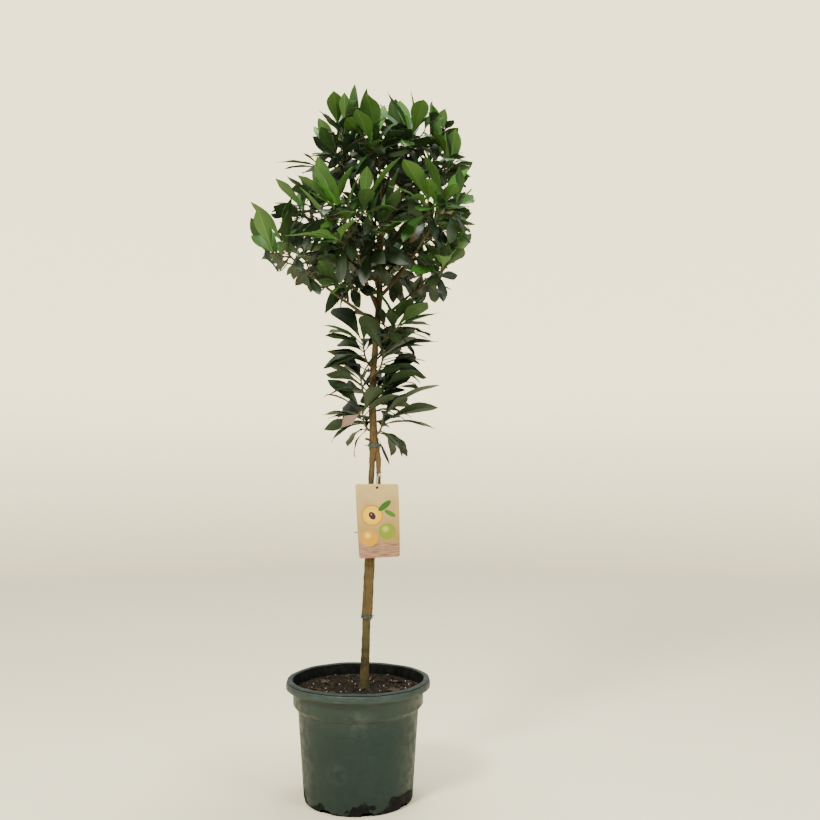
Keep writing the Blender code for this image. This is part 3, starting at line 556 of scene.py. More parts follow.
def tubeSolid(points, ways, radii, sides):
    # a plain closed limb, to test what has room
    verts = []
    side = ways[0].orthogonal().normalized()
    for point, way, radius in zip(points, ways, radii):
        side = (side - way * side.dot(way)).normalized()
        top = way.cross(side)
        for corner in range(sides):
            angle = tau * corner / sides
            verts.append(point + (side * cos(angle) + top * sin(angle)) * radius)
    faces = [tuple(range(sides))[::-1], tuple(range(len(verts) - sides, len(verts)))]
    for low in range(0, len(verts) - sides, sides):
        for corner in range(sides):
            nextCorner = (corner + 1) % sides
            faces.append((low + corner, low + nextCorner, low + sides + nextCorner, low + sides + corner))
    return verts, faces


def rowAt(rows, height):
    # a limb's middle and radius at a height
    for low, high in zip(rows, rows[1:]):
        if height <= high[0]:
            share = (height - low[0]) / (high[0] - low[0])
            return low[1] + (high[1] - low[1]) * share, low[2] + (high[2] - low[2]) * share


def limbAt(rows, height, y=0.0):
    x, radius = rowAt(rows, height)
    return Vector((x, y, height)), radius


def seatOnTrunk(height, towards, rise, radius):
    middle, _ = limbAt(trunkRows, height)
    below, thick = limbAt(trunkRows, height - 1.5 * radius)
    above, thin = limbAt(trunkRows, height + 1.5 * radius)
    along = (above - below).normalized()
    out = towards - middle
    out.z = 0
    out = (out - along * out.dot(along)).normalized()
    start = middle + out * (max(thick, thin) + gap)
    return start, (out * cos(rise) + Vector((0, 0, sin(rise)))).normalized(), out


def growLimbs():
    # paths of the boughs, and the end of each limb that a mass grows on from
    height, x, radius = trunkRows[-1]
    ends = {"trunk": (Vector((x, 0, height)), upright, radius)}
    boughs = {}
    tips = {row[1]: Vector(row[2]) for row in massRows}
    for name, height, tip, thick, thin, rise in boughRows:
        tip = Vector(tip)
        start, way, out = seatOnTrunk(height, tip, radians(rise), thick)
        endWay = ((tips[name] - tip).normalized() + (tip - start).normalized()).normalized()
        points, ways = bezierPath(start, way, tip, endWay, twigRule["steps"] * 2)
        last = len(points) - 1
        boughs[name] = (points, ways, [thick + (thin - thick) * k / last for k in range(last + 1)], out)
        ends[name] = (tip, endWay, thin)
    return boughs, ends


def leafSolid(root, way, face, length, width, bend, grow):
    # a three-cornered blade, to test what has room
    side = way.cross(face)
    verts = []
    for t, half in ((0.0, leafRule["root"]), *((t, width * half) for t, half in leafRule["sections"])):
        turn = bend * t
        middle = root + (way * sin(turn) - face * (1 - cos(turn))) * (length / bend)
        top = face * cos(turn) + way * sin(turn)
        verts.append(middle + side * (half + grow) + top * (leafRule["above"] + grow))
        verts.append(middle - side * (half + grow) + top * (leafRule["above"] + grow))
        verts.append(middle - top * (leafRule["below"] + grow))
    verts.append(root + (way * sin(bend) - face * (1 - cos(bend))) * (length / bend))
    faces = [(0, 1, 2), (6, 9, 7), (7, 9, 8), (8, 9, 6)]
    for row in (0, 3):
        for corner in range(3):
            a = row + corner
            b = row + (corner + 1) % 3
            faces += [(a, a + 3, b), (b, a + 3, b + 3)]
    return verts, faces


def inCrown(point):
    if not crownRows[0][0] <= point.z <= crownRows[-1][0]:
        return False
    middle, reach = rowAt(crownRows, point.z)
    return math.hypot(point.x - middle, point.y) <= reach


def ball(verts):
    middle = sum(verts, Vector()) / len(verts)
    return middle, max((vert - middle).length for vert in verts)


def atShare(points, ways, share):
    place = share * (len(points) - 1)
    low = min(int(place), len(points) - 2)
    rest = place - low
    return points[low].lerp(points[low + 1], rest), ways[low].lerp(ways[low + 1], rest).normalized()


def holds(room, owner, verts, slack):
    # inside the crown, and nearer to its own mass's heart than to the others'
    heart = room["hearts"][owner]
    others = [other for name, other in room["hearts"].items() if name != owner]
    for vert in verts:
        if not inCrown(vert):
            return False
        own = (vert - heart).length_squared
        for other in others:
            if (own - (vert - other).length_squared) / (2 * (other - heart).length) > slack:
                return False
    return True


def isFree(room, owner, solid, clear):
    # touches nothing; within its own mass only the part clear of the twig counts
    whole = BVHTree.FromPolygons(*solid)
    if any(whole.overlap(limb) for limb in room["limbs"]):
        return False
    clear = BVHTree.FromPolygons(*clear)
    middle, reach = ball(solid[0])
    for name, otherMiddle, otherReach, other in room["placed"]:
        if (otherMiddle - middle).length < reach + otherReach:
            if (clear if name == owner else whole).overlap(other):
                return False
    return True


def hasRoom(mass, room, solid, clear):
    name = mass["name"]
    return holds(room, name, solid[0], mass["slack"]) and isFree(room, name, solid, clear)


def fill(mass, room, solid):
    room["placed"].append((mass["name"], *ball(solid[0]), BVHTree.FromPolygons(*solid)))


def turnedFrom(axis, turn):
    # a way across the axis
    across = axis.orthogonal().normalized()
    across.rotate(Matrix.Rotation(turn, 3, axis))
    return across


def tryLeaf(mass, room, root, axis, spread, around, size, age, roll, spray, core=1.0):
    # puts one leaf at the first of a few turns that has room; a core under 1 tests its middle strip alone
    length, width, bend = size
    clearOfTwig = leafRule["clearOfTwig"] if core == 1 else leafRule["coreClear"]
    for extra, scale in leafRule["tries"]:
        way = axis * cos(spread) + turnedFrom(axis, around + radians(extra)) * sin(spread)
        way.z -= leafRule["droop"] * age
        way.normalize()
        if way.y < mass["front"]:
            continue
        face = axis + upright * leafRule["facesUp"]
        face = (face - way * face.dot(way)).normalized()
        face.rotate(Matrix.Rotation(roll, 3, way))
        tested = (way, face, length * scale, width * scale * core, bend, leafRule["clearance"])
        fat = leafSolid(root, *tested)
        if hasRoom(mass, room, fat, leafSolid(root + way * clearOfTwig, *tested)):
            fill(mass, room, fat)
            shape = (way, face, length * scale, width * scale, bend)
            mass["leaves"].append({"root": root, "shape": shape, "age": age, "spray": spray})
            return


def growLeaf(mass, room, chance, number, turn, age, draws, widths, core=1.0):
    # one leaf of a rosette; the older it is, the further back, the flatter and the more bent
    points, ways = mass["shoots"][number][:2]
    own = drawn(chance, draws)
    reach = sum((b - a).length for a, b in zip(points, points[1:]))
    back = min((leafRule["nearest"] + leafRule["stretch"] * age**1.2) / reach, leafRule["furthest"])
    root, axis = atShare(points, ways, 1 - back)
    narrow, wide = mass["spread"]
    spread = narrow + (wide - narrow) * age**1.15 + own["spread"]
    length = mass["length"] * (1 + (leafRule["oldShare"] - 1) * age) * own["length"]
    width = (widths[0] + (widths[1] - widths[0]) * age) * (length * own["width"])
    straight, bent = mass["bend"]
    bend = straight + (bent - straight) * age * own["bend"]
    size = (length, width, bend)
    roll = own["roll"] * mass["roll"]
    tryLeaf(mass, room, root, axis, spread, turn + own["around"], size, age, roll, number, core)


def startMass(row, ends, room):
    name, limb, tip, sideShoots, leafCount, turn, seed, brightness = row
    tip = Vector(tip)
    isSpur = False
    radius = twigRule["stemRadius"]
    if isinstance(limb, str):
        base, way, thick = ends[limb]
        start = base + way * gap
        radius = min(thick, radius)
    else:
        start, way, _ = seatOnTrunk(limb, tip, twigRule["spurRise"], radius)
        isSpur = sideShoots == 0
    endWay = ((tip - start).normalized() + upright * twigRule["rises"]["stem"]).normalized()
    points, ways = bezierPath(start, way, tip, endWay, twigRule["steps"])
    last = len(points) - 1
    radii = [radius + (twigRule["stemTip"] - radius) * k / last for k in range(last + 1)]
    turn = radians(turn)
    mass = {
        "name": name,
        "chance": random.Random(seed),
        "sideShoots": sideShoots,
        "isSpur": isSpur,
        "brightness": brightness,
        "twigs": [(points, radii)],
        "shoots": [(points, ways, leafCount, turn)],
        "leaves": [],
        **massKinds["spur" if isSpur else "crown"],
    }
    fill(mass, room, tubeSolid(points, ways, radii, 4))
    return mass


def growSideShoots(mass, room):
    points, ways, leafCount, turn = mass["shoots"][0]
    chance = mass["chance"]
    thick, thin = twigRule["shootRadius"], twigRule["shootTip"]
    tested = [thick + twigRule["clearance"]] * 3
    first, last = twigRule["shootShares"]
    rises = twigRule["rises"]
    for index in range(mass["sideShoots"]):
        share = first + (last - first) * (index / max(mass["sideShoots"] - 1, 1))
        root, axis = atShare(points, ways, share)
        own = drawn(chance, twigRule["shootDraws"])
        length = twigRule["shootLength"] * own["length"]
        around = turn + index * goldenTurn + own["around"]
        for extra in twigRule["tries"]:
            across = turnedFrom(axis, around + radians(extra))
            leaving = axis * cos(twigRule["shootAngle"]) + across * sin(twigRule["shootAngle"])
            end = root + (leaving + upright * rises["shootEnd"]).normalized() * length
            rising = (leaving + upright * rises["shoot"]).normalized()
            offStem = root + leaving * twigRule["clearOfStem"]
            fat = tubeSolid(*bezierPath(root, leaving, end, rising, 2), tested, 3)
            clear = tubeSolid(*bezierPath(offStem, leaving, end, rising, 2), tested, 3)
            if hasRoom(mass, room, fat, clear):
                steps = twigRule["steps"]
                path, pathWays = bezierPath(root, leaving, end, rising, steps)
                mass["twigs"].append((path, [thick + (thin - thick) * k / steps for k in range(steps + 1)]))
                ownTurn = turn + twigRule["shootTurn"] * (index + 1)
                mass["shoots"].append((path, pathWays, leafCount - 1, ownTurn))
                fill(mass, room, fat)
                break


def growBetween(mass, room, chance):
    # more leaves of each rosette, in the spaces that the solids' coarse leaves leave
    count = openMasses.get(mass["name"], mass["between"])
    for number, (*_, turn) in enumerate(mass["shoots"]):
        for index in range(count):
            around = turn + (index + 0.5) * goldenTurn + pi
            age = (index + 0.5) / count
            growLeaf(mass, room, chance, number, around, age, betweenDraws, (1, 1), leafRule["core"])


def growBuds(mass, room, chance):
    # small upright leaves round each growing tip
    rule = budRule
    for number, (points, ways, leafCount, turn) in enumerate(mass["shoots"]):
        for index in range(rule["leaves"]):
            length = rule["length"] * chance.uniform(*rule["lengths"])
            size = (length, length * chance.uniform(*rule["widths"]), rule["bend"])
            root = points[-1] - ways[-1] * rule["below"]
            around = turn - (index + 1) * goldenTurn
            spread = rule["spread"] * chance.uniform(*rule["spreads"])
            tryLeaf(mass, room, root, ways[-1], spread, around, size, 0.0, 0.0, number)


def growSpurlets(mass, room, chance):
    # short twigs with a few small old leaves, further in along each shoot
    rule = spurletRule
    for number, (points, ways, leafCount, turn) in enumerate(mass["shoots"]):
        for share in rule["shares"]:
            root, axis = atShare(points, ways, share)
            leaving = (axis * rule["forward"] + turnedFrom(axis, chance.uniform(0, tau))).normalized()
            end = root + leaving * rule["length"] * chance.uniform(*rule["lengths"])
            rising = (leaving + upright * twigRule["rises"]["spurlet"]).normalized()
            path, pathWays = bezierPath(root, leaving, end, rising, rule["steps"])
            radii = [rule["radius"] + gap] * len(path)
            fat = tubeSolid(path, pathWays, radii, 3)
            if not hasRoom(mass, room, fat, tubeSolid(path[1:], pathWays[1:], radii[1:], 3)):
                continue
            grown = len(mass["leaves"])
            for index in range(rule["leaves"]):
                length = rule["leafLength"] * chance.uniform(*rule["leafLengths"])
                width = length * chance.uniform(*rule["leafWidths"])
                size = (length, width, radians(chance.uniform(*rule["bends"])))
                spread = radians(chance.uniform(*rule["spreads"]))
                around = turn + index * goldenTurn + share * 9
                roll = chance.uniform(*rule["rolls"])
                age = rule["age"]
                tryLeaf(mass, room, path[-1], pathWays[-1], spread, around, size, age, roll, number)
            if len(mass["leaves"]) > grown:
                mass["twigs"].append((path, [rule["radius"]] * len(path)))
                fill(mass, room, fat)


def growMasses(boughs, ends):
    room = {"limbs": [], "hearts": {}, "placed": []}
    for name, limb, tip, *_ in massRows:
        start = ends[limb][0] if isinstance(limb, str) else limbAt(trunkRows, limb)[0]
        room["hearts"][name] = start.lerp(Vector(tip), twigRule["heart"])
    solids = []
    for rows, y, sides in ((trunkRows, 0.0, 10), (secondRows, secondForward, 8)):
        points = [Vector((x, y, z)) for z, x, radius in rows]
        solids.append(tubeSolid(points, [upright] * len(rows), [row[2] for row in rows], sides))
    solids += [tubeSolid(points[1:], ways[1:], radii[1:], 6) for points, ways, radii, out in boughs.values()]
    room["limbs"] = [BVHTree.FromPolygons(*solid) for solid in solids]
    masses = [startMass(row, ends, room) for row in massRows]
    for mass in masses:
        growSideShoots(mass, room)
    for index in range(max(row[4] for row in massRows)):
        for mass in masses:
            for number, (points, ways, leafCount, turn) in enumerate(mass["shoots"]):
                if index < leafCount:
                    around = turn + index * goldenTurn
                    age = index / max(leafCount - 1, 1)
                    chance = mass["chance"]
                    growLeaf(mass, room, chance, number, around, age, mainDraws, leafRule["widths"])
    print("main leaves", sum(len(mass["leaves"]) for mass in masses))
    chance = random.Random(seeds["between"])
    for mass in masses:
        growBetween(mass, room, chance)
    print("with those between", sum(len(mass["leaves"]) for mass in masses))
    for mass in masses:
        if not mass["isSpur"]:
            growBuds(mass, room, chance)
            growSpurlets(mass, room, chance)
    chance = random.Random(seeds["second"])
    for mass in masses:
        if mass["isSpur"] or mass["name"] == fullMass:
            growBetween(mass, room, chance)
    print("all leaves", sum(len(mass["leaves"]) for mass in masses))
    return masses


# Bark

trunkLook = (  # the trunk as it shows: soft shoulders at the graft, and a little more bark further up
    (0.2803, 0.0150, 0.0158), (0.2860, 0.0151, 0.0136), (0.3020, 0.0156, 0.0120), (0.4000, 0.0190, 0.0108),
    (0.4560, 0.0208, 0.0104), (0.4700, 0.0219, 0.0122), (0.4800, 0.0214, 0.0128), (0.4960, 0.0182, 0.0084),
    (0.5400, 0.0198, 0.0074), (0.6200, 0.0235, 0.0073), (0.7200, 0.0284, 0.0074), (0.8240, 0.0332, 0.0073),
    (0.8680, 0.0354, 0.0076), (0.8860, 0.0385, 0.0104), (0.9020, 0.0418, 0.0148), (0.9380, 0.0390, 0.0108),
    *((height, x, radius + 0.0001) for height, x, radius in trunkRows[15:-1]), trunkRows[-1],
)

secondLook = (
    (0.4600, 0.0265, 0.0060), (0.4800, 0.0300, 0.0070), (0.5400, 0.0324, 0.0070), (0.6200, 0.0362, 0.0070),
    (0.7200, 0.0455, 0.0065), (0.8000, 0.0515, 0.0065), (0.8420, 0.0528, 0.0064), (0.8700, 0.0522, 0.0064),
    (0.8900, 0.0508, 0.0066), (0.9080, 0.0480, 0.0060),
)

fused = (  # where the two stems have grown into one, between them
    (0.4640, 0.0236, 0.0070), (0.5400, 0.0264, 0.0082), (0.6200, 0.0300, 0.0082), (0.6800, 0.0346, 0.0072),
    (0.7500, 0.0392, 0.0044),
)
fusedForward = -0.0042
stub = ((0.035, -0.003, 0.925), (0.025, -0.006, 0.929), (0.018, -0.007, 0.931))
stubRadius = 0.0033

barkLook = {
    "step": 0.0032,
    "sides": 28,
    "lump": (62, 0.0011),  # scale and depth
    "ridge": (520, 0.00045),
    "boughSides": 14,
    "boughLump": (90, 0.0006),
    "boughRidge": (700, 0.0003),
    "boughScar": (0.003, 0.0007),
    "twigSides": 8,
    "scarStep": 0.019,
    "scarReach": 0.0042,
    "scarHeight": 0.0011,
    "roughness": 0.8,
    "sheen": 0.25,
    "streaks": (420.0, 0.10),  # scale and length
    "cloudy": (38.0, 0.12),  # scale and softness
    "film": (21.0, 0.10),
    "dots": (230.0, 0.30),  # scale and size
    "relief": (0.7, 0.0006),  # strength and depth
    "trunkFoot": (0.044, 0.039, 0.010),
    "trunkTop": (0.098, 0.057, 0.018),
    # painted shade of the crown on the trunk: darker bark between these two heights
    "trunkCrownShade": ((0.056, 0.033, 0.011), (0.91, 0.99)),
    "second": (0.098, 0.057, 0.018),
    "bough": (0.090, 0.056, 0.024),
    "boughTop": (0.072, 0.052, 0.022),
    "twig": (0.066, 0.050, 0.020),
    "lichen": (0.054, 0.062, 0.020),
}


def barkMaterial(name, foot, top, heights, upper=None):
    # foot and top colours between two heights, streaks, pale flecks and a green film;
    # upper gives a third colour and the heights between which it comes in, which on the trunk is painted
    # shade under the crown
    look = barkLook
    material, tree, shader, place = placedMaterial(name, foot, look["roughness"], look["sheen"])
    height = axesOf(tree, place)[2]
    tone = mixed(tree, ranged(tree, height, *heights), foot, top)
    # painted shade: a darker colour high up, where the crown shades the trunk
    if upper:
        tone = mixed(tree, ranged(tree, height, *upper[1]), tone, upper[0])
    streak = grouped(tree, "grain", place, *look["streaks"])
    dark = tuple(value * 0.42 for value in foot)
    tone = mixed(tree, ranged(tree, streak, 0.38, 0.60, 0.9, 0.0), tone, dark)
    pale = tuple(value * 1.5 + 0.006 for value in top)
    tone = mixed(tree, times(tree, grouped(tree, "patches", place, *look["cloudy"]), 0.45), tone, pale)
    low = ranged(tree, height, *heights, 0.55, 0.05)
    film = times(tree, grouped(tree, "patches", place, *look["film"]), low)
    tone = mixed(tree, film, tone, look["lichen"])
    dots = times(tree, grouped(tree, "flecks", place, *look["dots"]), 0.5)
    feed(tree, shader, {"Base Color": mixed(tree, dots, tone, pale)})
    bumped(tree, shader, plus(tree, streak, dots), *look["relief"])
    return material


def resampled(stations, step):
    # rows of height, middle and radius, smoothed and put closer together
    heights = [row[0] for row in stations]
    count = max(2, round((heights[-1] - heights[0]) / step))
    rows = []
    for index in range(count + 1):
        height = heights[0] + (heights[-1] - heights[0]) * index / count
        k = max(0, min(len(stations) - 2, sum(height >= h for h in heights) - 1))
        a, b = stations[k], stations[k + 1]
        t = (height - a[0]) / (b[0] - a[0])
        t = t * t * (3 - 2 * t) * 0.5 + t * 0.5
        rows.append((height, a[1] + (b[1] - a[1]) * t, a[2] + (b[2] - a[2]) * t))
    return rows


def roughened(mesh, lump, ridge, scars):
    # the bark's relief: lumps, long ridges and the scars of fallen leaves (point, reach, height)
    swell = np.zeros(len(mesh.vertices))
    for vert in mesh.vertices:
        place = vert.co
        tall = Vector((place.x, place.y, place.z * 0.16)) * ridge[0]
        swell[vert.index] = noise.noise(place * lump[0]) * lump[1] + noise.noise(tall) * ridge[1]
    spots = np.array([vert.co for vert in mesh.vertices])
    for point, reach, height in scars:
        far = ((spots - np.array(point)) ** 2).sum(axis=1) / reach**2
        swell += height * np.exp(-far) - 0.6 * height * np.exp(-far * 9)
    spots += np.array([vert.normal for vert in mesh.vertices]) * swell[:, None]
    mesh.vertices.foreach_set("co", spots.ravel())
    mesh.update()


def scarsUp(rows, y):
    # fallen leaves' scars on a spiral up a limb
    chance = random.Random(len(rows))
    scars = []
    height = rows[0][0] + 0.03
    turn = 0.0
    while height < rows[-1][0] - 0.01:
        middle, radius = limbAt(rows, height, y)
        size = chance.uniform(0.6, 1.15)
        point = middle + Vector((cos(turn), sin(turn), 0)) * radius
        scars.append((point, barkLook["scarReach"] * size, barkLook["scarHeight"] * size))
        height += barkLook["scarStep"] * chance.uniform(0.6, 1.4)
        turn += goldenTurn
    return scars


def makeUprights():
    look = barkLook
    trunk = (look["trunkFoot"], look["trunkTop"], (0.34, 0.90), look["trunkCrownShade"])
    second = (look["second"], look["second"], (0.30, 0.90))
    between = resampled(fused, look["step"])
    seam = ([Vector((x, fusedForward, z)) for z, x, radius in between], [row[2] for row in between])
    cutStub = (stub, [stubRadius] * len(stub))
    for name, rows, y, extra, node, tones in (
        ("trunkBark", trunkLook, 0.0, cutStub, "trunk", trunk),
        ("secondStemBark", secondLook, secondForward, seam, "second_stem", second),
    ):
        rows = resampled(rows, look["step"])
        limb = ([Vector((x, y, z)) for z, x, radius in rows], [row[2] for row in rows])
        mesh = tubeMesh(name, ((limb, extra), look["sides"], False))
        roughened(mesh, look["lump"], look["ridge"], scarsUp(rows, y))
        for vert in mesh.vertices:
            vert.co.z = max(vert.co.z, rows[0][0])
        show(name, mesh, [barkMaterial(name, *tones)], [node], smooth=60)


def makeBoughs(boughs):
    look = barkLook
    material = barkMaterial("boughBark", look["bough"], look["boughTop"], (1.2, 1.6))
    for name, (points, ways, radii, out) in boughs.items():
        # the foot runs a little into the trunk, with a swollen collar
        path = [points[0] - out * 0.003] + points
        thick = [radii[0] * 1.25] + [r * (1 + 0.3 * math.exp(-k / 1.6)) for k, r in enumerate(radii)]
        mesh = tubeMesh(name, ([(path, thick)], look["boughSides"], False))
        scars = [
            (point + way.orthogonal().normalized() * radius, *look["boughScar"])
            for point, way, radius in list(zip(points, ways, radii))[2::3]
        ]
        roughened(mesh, look["boughLump"], look["boughRidge"], scars)
        show("bark_" + name, mesh, [material], [name], smooth=60)


def makeTwigs(masses):
    material = barkMaterial("twigBark", barkLook["twig"], barkLook["twig"], (1.0, 1.8))
    paths = []
    for mass in masses:
        for points, radii in mass["twigs"]:
            knobbly = [r * (1.18 if k % 2 else 0.98) for k, r in enumerate(radii)]
            tip = points[-1] + (points[-1] - points[-2]).normalized() * 0.006
            paths.append((points + [tip], knobbly + [0.0004]))
    mesh = tubeMesh("crownTwigs", (paths, barkLook["twigSides"], False))
    show("crownTwigs", mesh, [material], smooth=60)


# Leaves

bladeLook = {
    "rows": 10,
    "columns": 5,
    "ribHalf": 0.0008,
    "stalk": 0.10,
    "stalkHalf": 0.0011,
    "tipHalf": 0.0004,
    "thick": 0.0005,
    "stalkThick": 0.0019,
    "rib": 0.0011,
    "blunt": 2.5,
    "slim": (0.99, 0.86),  # of the solids' width, on young and old leaves
    "spurSlim": 0.88,
    "curlFrom": 0.55,
    "curls": (0, 0, 0.6, 1.4, -1.2),
    "smooth": 70,
    "underRoughness": 0.6,
    "ribRoughness": 0.5,
    "wornRoughness": 0.7,
    "dryRoughness": 0.75,
    "light": (0.52, 0.13),  # above the first a leaf is bright, above the second green
    "otherTone": 0.3,  # share of leaves with a tone unlike their spray's
    "worn": 0.07,  # share of old leaves with a brown tip
    "wornFrom": (0.74, 0.92),
}

leafDraws = {  # what chance gives each leaf, in the order of the draws
    "taper": (1.05, 1.40),
    "sharp": (0.96, 1.26),
    "footFold": (-0.1, 0.1),
    "tipFold": (-0.12, 0.12),
    "wave": (0.0003, 0.0018),
    "waves": (1.4, 2.8),
    "phase": (0, tau),
    "twist": (-0.35, 0.35),
}

leafColours = {  # top tones dealt out by spray, underside, rib
    "bright": (
        ((0.040, 0.134, 0.008), (0.052, 0.160, 0.010), (0.031, 0.113, 0.006)),
        (0.050, 0.122, 0.016),
        (0.096, 0.196, 0.026),
    ),
    "green": (
        ((0.019, 0.069, 0.005), (0.015, 0.054, 0.004), (0.026, 0.090, 0.007)),
        (0.026, 0.066, 0.011),
        (0.040, 0.092, 0.012),
    ),
    "dark": (
        ((0.0090, 0.0205, 0.0030), (0.0130, 0.0285, 0.0040), (0.0065, 0.0150, 0.0024)),
        (0.0150, 0.0345, 0.0095),
        (0.0200, 0.0400, 0.0090),
    ),
}
leafGloss = {"bright": (0.48, 0.34), "green": (0.46, 0.36), "dark": (0.47, 0.46)}  # roughness and sheen
wornColours = {
    "brown": (0.048, 0.029, 0.009),
    "pink": (0.215, 0.135, 0.092),
    "tan": (0.120, 0.084, 0.032),
    "black": (0.010, 0.009, 0.006),
}


def bladeTemplate():
    # along (0 to 1), across (-1 to 1), under (0 or 1) of each point, and the faces with their kind
    # (0 top, 1 underside, 2 rib) and their place along
    bm = bmesh.new()
    bmesh.ops.create_grid(bm, x_segments=bladeLook["columns"], y_segments=bladeLook["rows"], size=0.5)
    bmesh.ops.solidify(bm, geom=list(bm.faces), thickness=0.01)
    bm.normal_update()
    along = np.array([vert.co.y + 0.5 for vert in bm.verts])
    across = np.array([vert.co.x * 2 for vert in bm.verts])
    under = np.array([float(vert.co.z < -0.005) for vert in bm.verts])
    faces = []
    kinds = []
    places = []
    for face in bm.faces:
        faces.append([vert.index for vert in face.verts])
        inner = all(abs(vert.co.x * 2) < 1.5 / bladeLook["columns"] for vert in face.verts)
        isUnder = face.normal.z < -0.5
        kinds.append(2 if inner else 1 if isUnder else 0)
        places.append(face.calc_center_median().y + 0.5)
    bm.free()
    return along, across, under, faces, kinds, places


def bladePoints(template, leaf):
    # the template's points on one leaf
    look = bladeLook
    along, across, under = template[:3]
    way, face, length, width, bend = leaf["shape"]
    root, way, face = (np.array(v) for v in (leaf["root"], way, face))
    side = np.cross(way, face)

    # half the width, from the stalk to the tip
    share = np.clip((along - look["stalk"]) / (1 - look["stalk"]), 0, 1)
    outline = share ** leaf["taper"] * (1 - share ** look["blunt"]) ** leaf["sharp"]
    spread = np.linspace(0, 1, 60)
    outline /= (spread ** leaf["taper"] * (1 - spread ** look["blunt"]) ** leaf["sharp"]).max()
    stalkHalf = np.where(share > 0.6, look["tipHalf"], look["stalkHalf"])
    half = np.maximum(outline * width * leaf["slim"] * 0.5, stalkHalf)
    inner = 1 / look["columns"]
    ribHalf = np.minimum(look["ribHalf"], half * 0.6)
    outward = np.clip((np.abs(across) - inner) / (1 - inner), 0, 1)
    sideways = np.sign(across) * (ribHalf + (half - ribHalf) * outward)

    # the fold along the rib, the wavy edge, the thickness and the rib itself
    fold = leaf["fold"][0] + (leaf["fold"][1] - leaf["fold"][0]) * along
    stalky = 1 - np.clip(along / 0.16, 0, 1) ** 2
    lift = np.abs(sideways) * np.sin(fold)
    wave = tau * leaf["waves"] * along + leaf["phase"] + np.sign(across) * 0.9
    lift += leaf["wave"] * outward**2 * np.sin(wave)
    thickness = look["thick"] + (look["stalkThick"] - look["thick"]) * stalky
    rib = (np.abs(across) <= inner + 0.01) * look["rib"] * (1 - along) * (1 - stalky)
    lift = lift + thickness * (0.5 - under) - rib * under - rib * 0.25 * (1 - under)
    sideways = sideways * np.cos(fold)
    twist = leaf["twist"] * along
    cosine, sine = np.cos(twist), np.sin(twist)
    sideways, lift = sideways * cosine - lift * sine, sideways * sine + lift * cosine

    # the bend along the leaf, with more curl near the tip
    steps = np.linspace(0, 1, 41)
    turn, turns = (bend * t + leaf["curl"] * np.clip(t - look["curlFrom"], 0, 1) ** 2 for t in (along, steps))
    middles = (turns[1:] + turns[:-1]) / 2
    ahead = np.concatenate(([0], np.cumsum(np.cos(middles)))) / 40
    down = np.concatenate(([0], np.cumsum(np.sin(middles)))) / 40
    forward = np.interp(along, steps, ahead)[:, None] * length
    lower = np.interp(along, steps, down)[:, None] * length
    top = face[None] * np.cos(turn)[:, None] + way[None] * np.sin(turn)[:, None]
    return root + way * forward - face * lower + side * sideways[:, None] + top * lift[:, None]


def leafMaterials():
    dull = bladeLook["wornRoughness"]
    worn = [plainMaterial(name + "Leaf", colour, dull)[0] for name, colour in wornColours.items()]
    made = {}
    for tone, (tops, under, rib) in leafColours.items():
        looks = [(f"{tone}Leaf{index}", colour, *leafGloss[tone]) for index, colour in enumerate(tops)]
        looks.append((tone + "LeafUnder", under, bladeLook["underRoughness"]))
        looks.append((tone + "LeafRib", rib, bladeLook["ribRoughness"]))
        made[tone] = [plainMaterial(*look)[0] for look in looks] + worn
    return made


def dressLeaf(leaf, mass, chance):
    # each leaf's own outline, folds and tone
    age = leaf["age"]
    leaf.update(drawn(chance, leafDraws))
    leaf["fold"] = (0.42 - 0.25 * age + leaf["footFold"], 0.12 - 0.30 * age + leaf["tipFold"])
    young, old = bladeLook["slim"]
    leaf["slim"] = bladeLook["spurSlim"] if mass["isSpur"] else young + (old - young) * age
    leaf["wave"] *= 0.5 + 1.2 * age
    leaf["twist"] *= 0.3 + age
    leaf["curl"] = chance.choice(bladeLook["curls"]) * (0.2 + age)
    # the tone darkens with age and with the mass's brightness, which holds painted shade inside and under the
    # crown
    light = mass["brightness"] * (1.05 - 1.25 * age) + chance.uniform(-0.10, 0.10)
    bright, green = bladeLook["light"]
    leaf["tone"] = "bright" if light > bright else "green" if light > green else "dark"
    leaf["withered"] = (1.1, "brown")
    if age > 0.5 and chance.random() < bladeLook["worn"]:
        leaf["withered"] = (chance.uniform(*bladeLook["wornFrom"]), chance.choice(("brown", "brown", "tan")))


def makeLeaves(masses):
    template = bladeTemplate()
    faces, kinds, places = template[3:]
    materials = leafMaterials()
    dry = list(wornColours)
    chance = random.Random(seeds["dress"])
    gathered = {tone: [] for tone in leafColours}
    for mass in masses:
        sprays = {}
        for leaf in mass["leaves"]:
            dressLeaf(leaf, mass, chance)
            shade = sprays.setdefault(leaf["spray"], chance.randrange(3))
            if chance.random() < bladeLook["otherTone"]:
                shade = chance.randrange(3)
            start, colour = leaf["withered"]
            end = 5 + dry.index(colour)
            own = (shade, 3, 4)
            looks = [end if place > start else own[kind] for kind, place in zip(kinds, places)]
            gathered[leaf["tone"]].append((bladePoints(template, leaf), faces, looks))
    for tone, parts in gathered.items():
        nodes = [mass["name"] for mass in masses] if tone == "green" else ()
        name = tone + "Leaves"
        show(name, joined(name, parts), materials[tone], nodes, smooth=bladeLook["smooth"])
        print(tone, "leaves:", len(parts))


# Pot and soil

potSize = {
    "top": 0.312,
    "rim": 0.186,
    "rimBottom": 0.290,
    "mouth": 0.169,
    "neck": 0.168,
    "neckBottom": 0.247,
    "stepBottom": 0.234,
    "body": 0.1555,
    "foot": 0.141,
    "footRound": 0.007,
    "wall": 0.0028,
    "steps": 128,
    "drains": 8,
    "drainWidth": 0.030,
    "drainHeight": 0.010,
    "drainDepth": 0.016,
    "drainRound": 0.004,
    "drainTurn": radians(237),
}

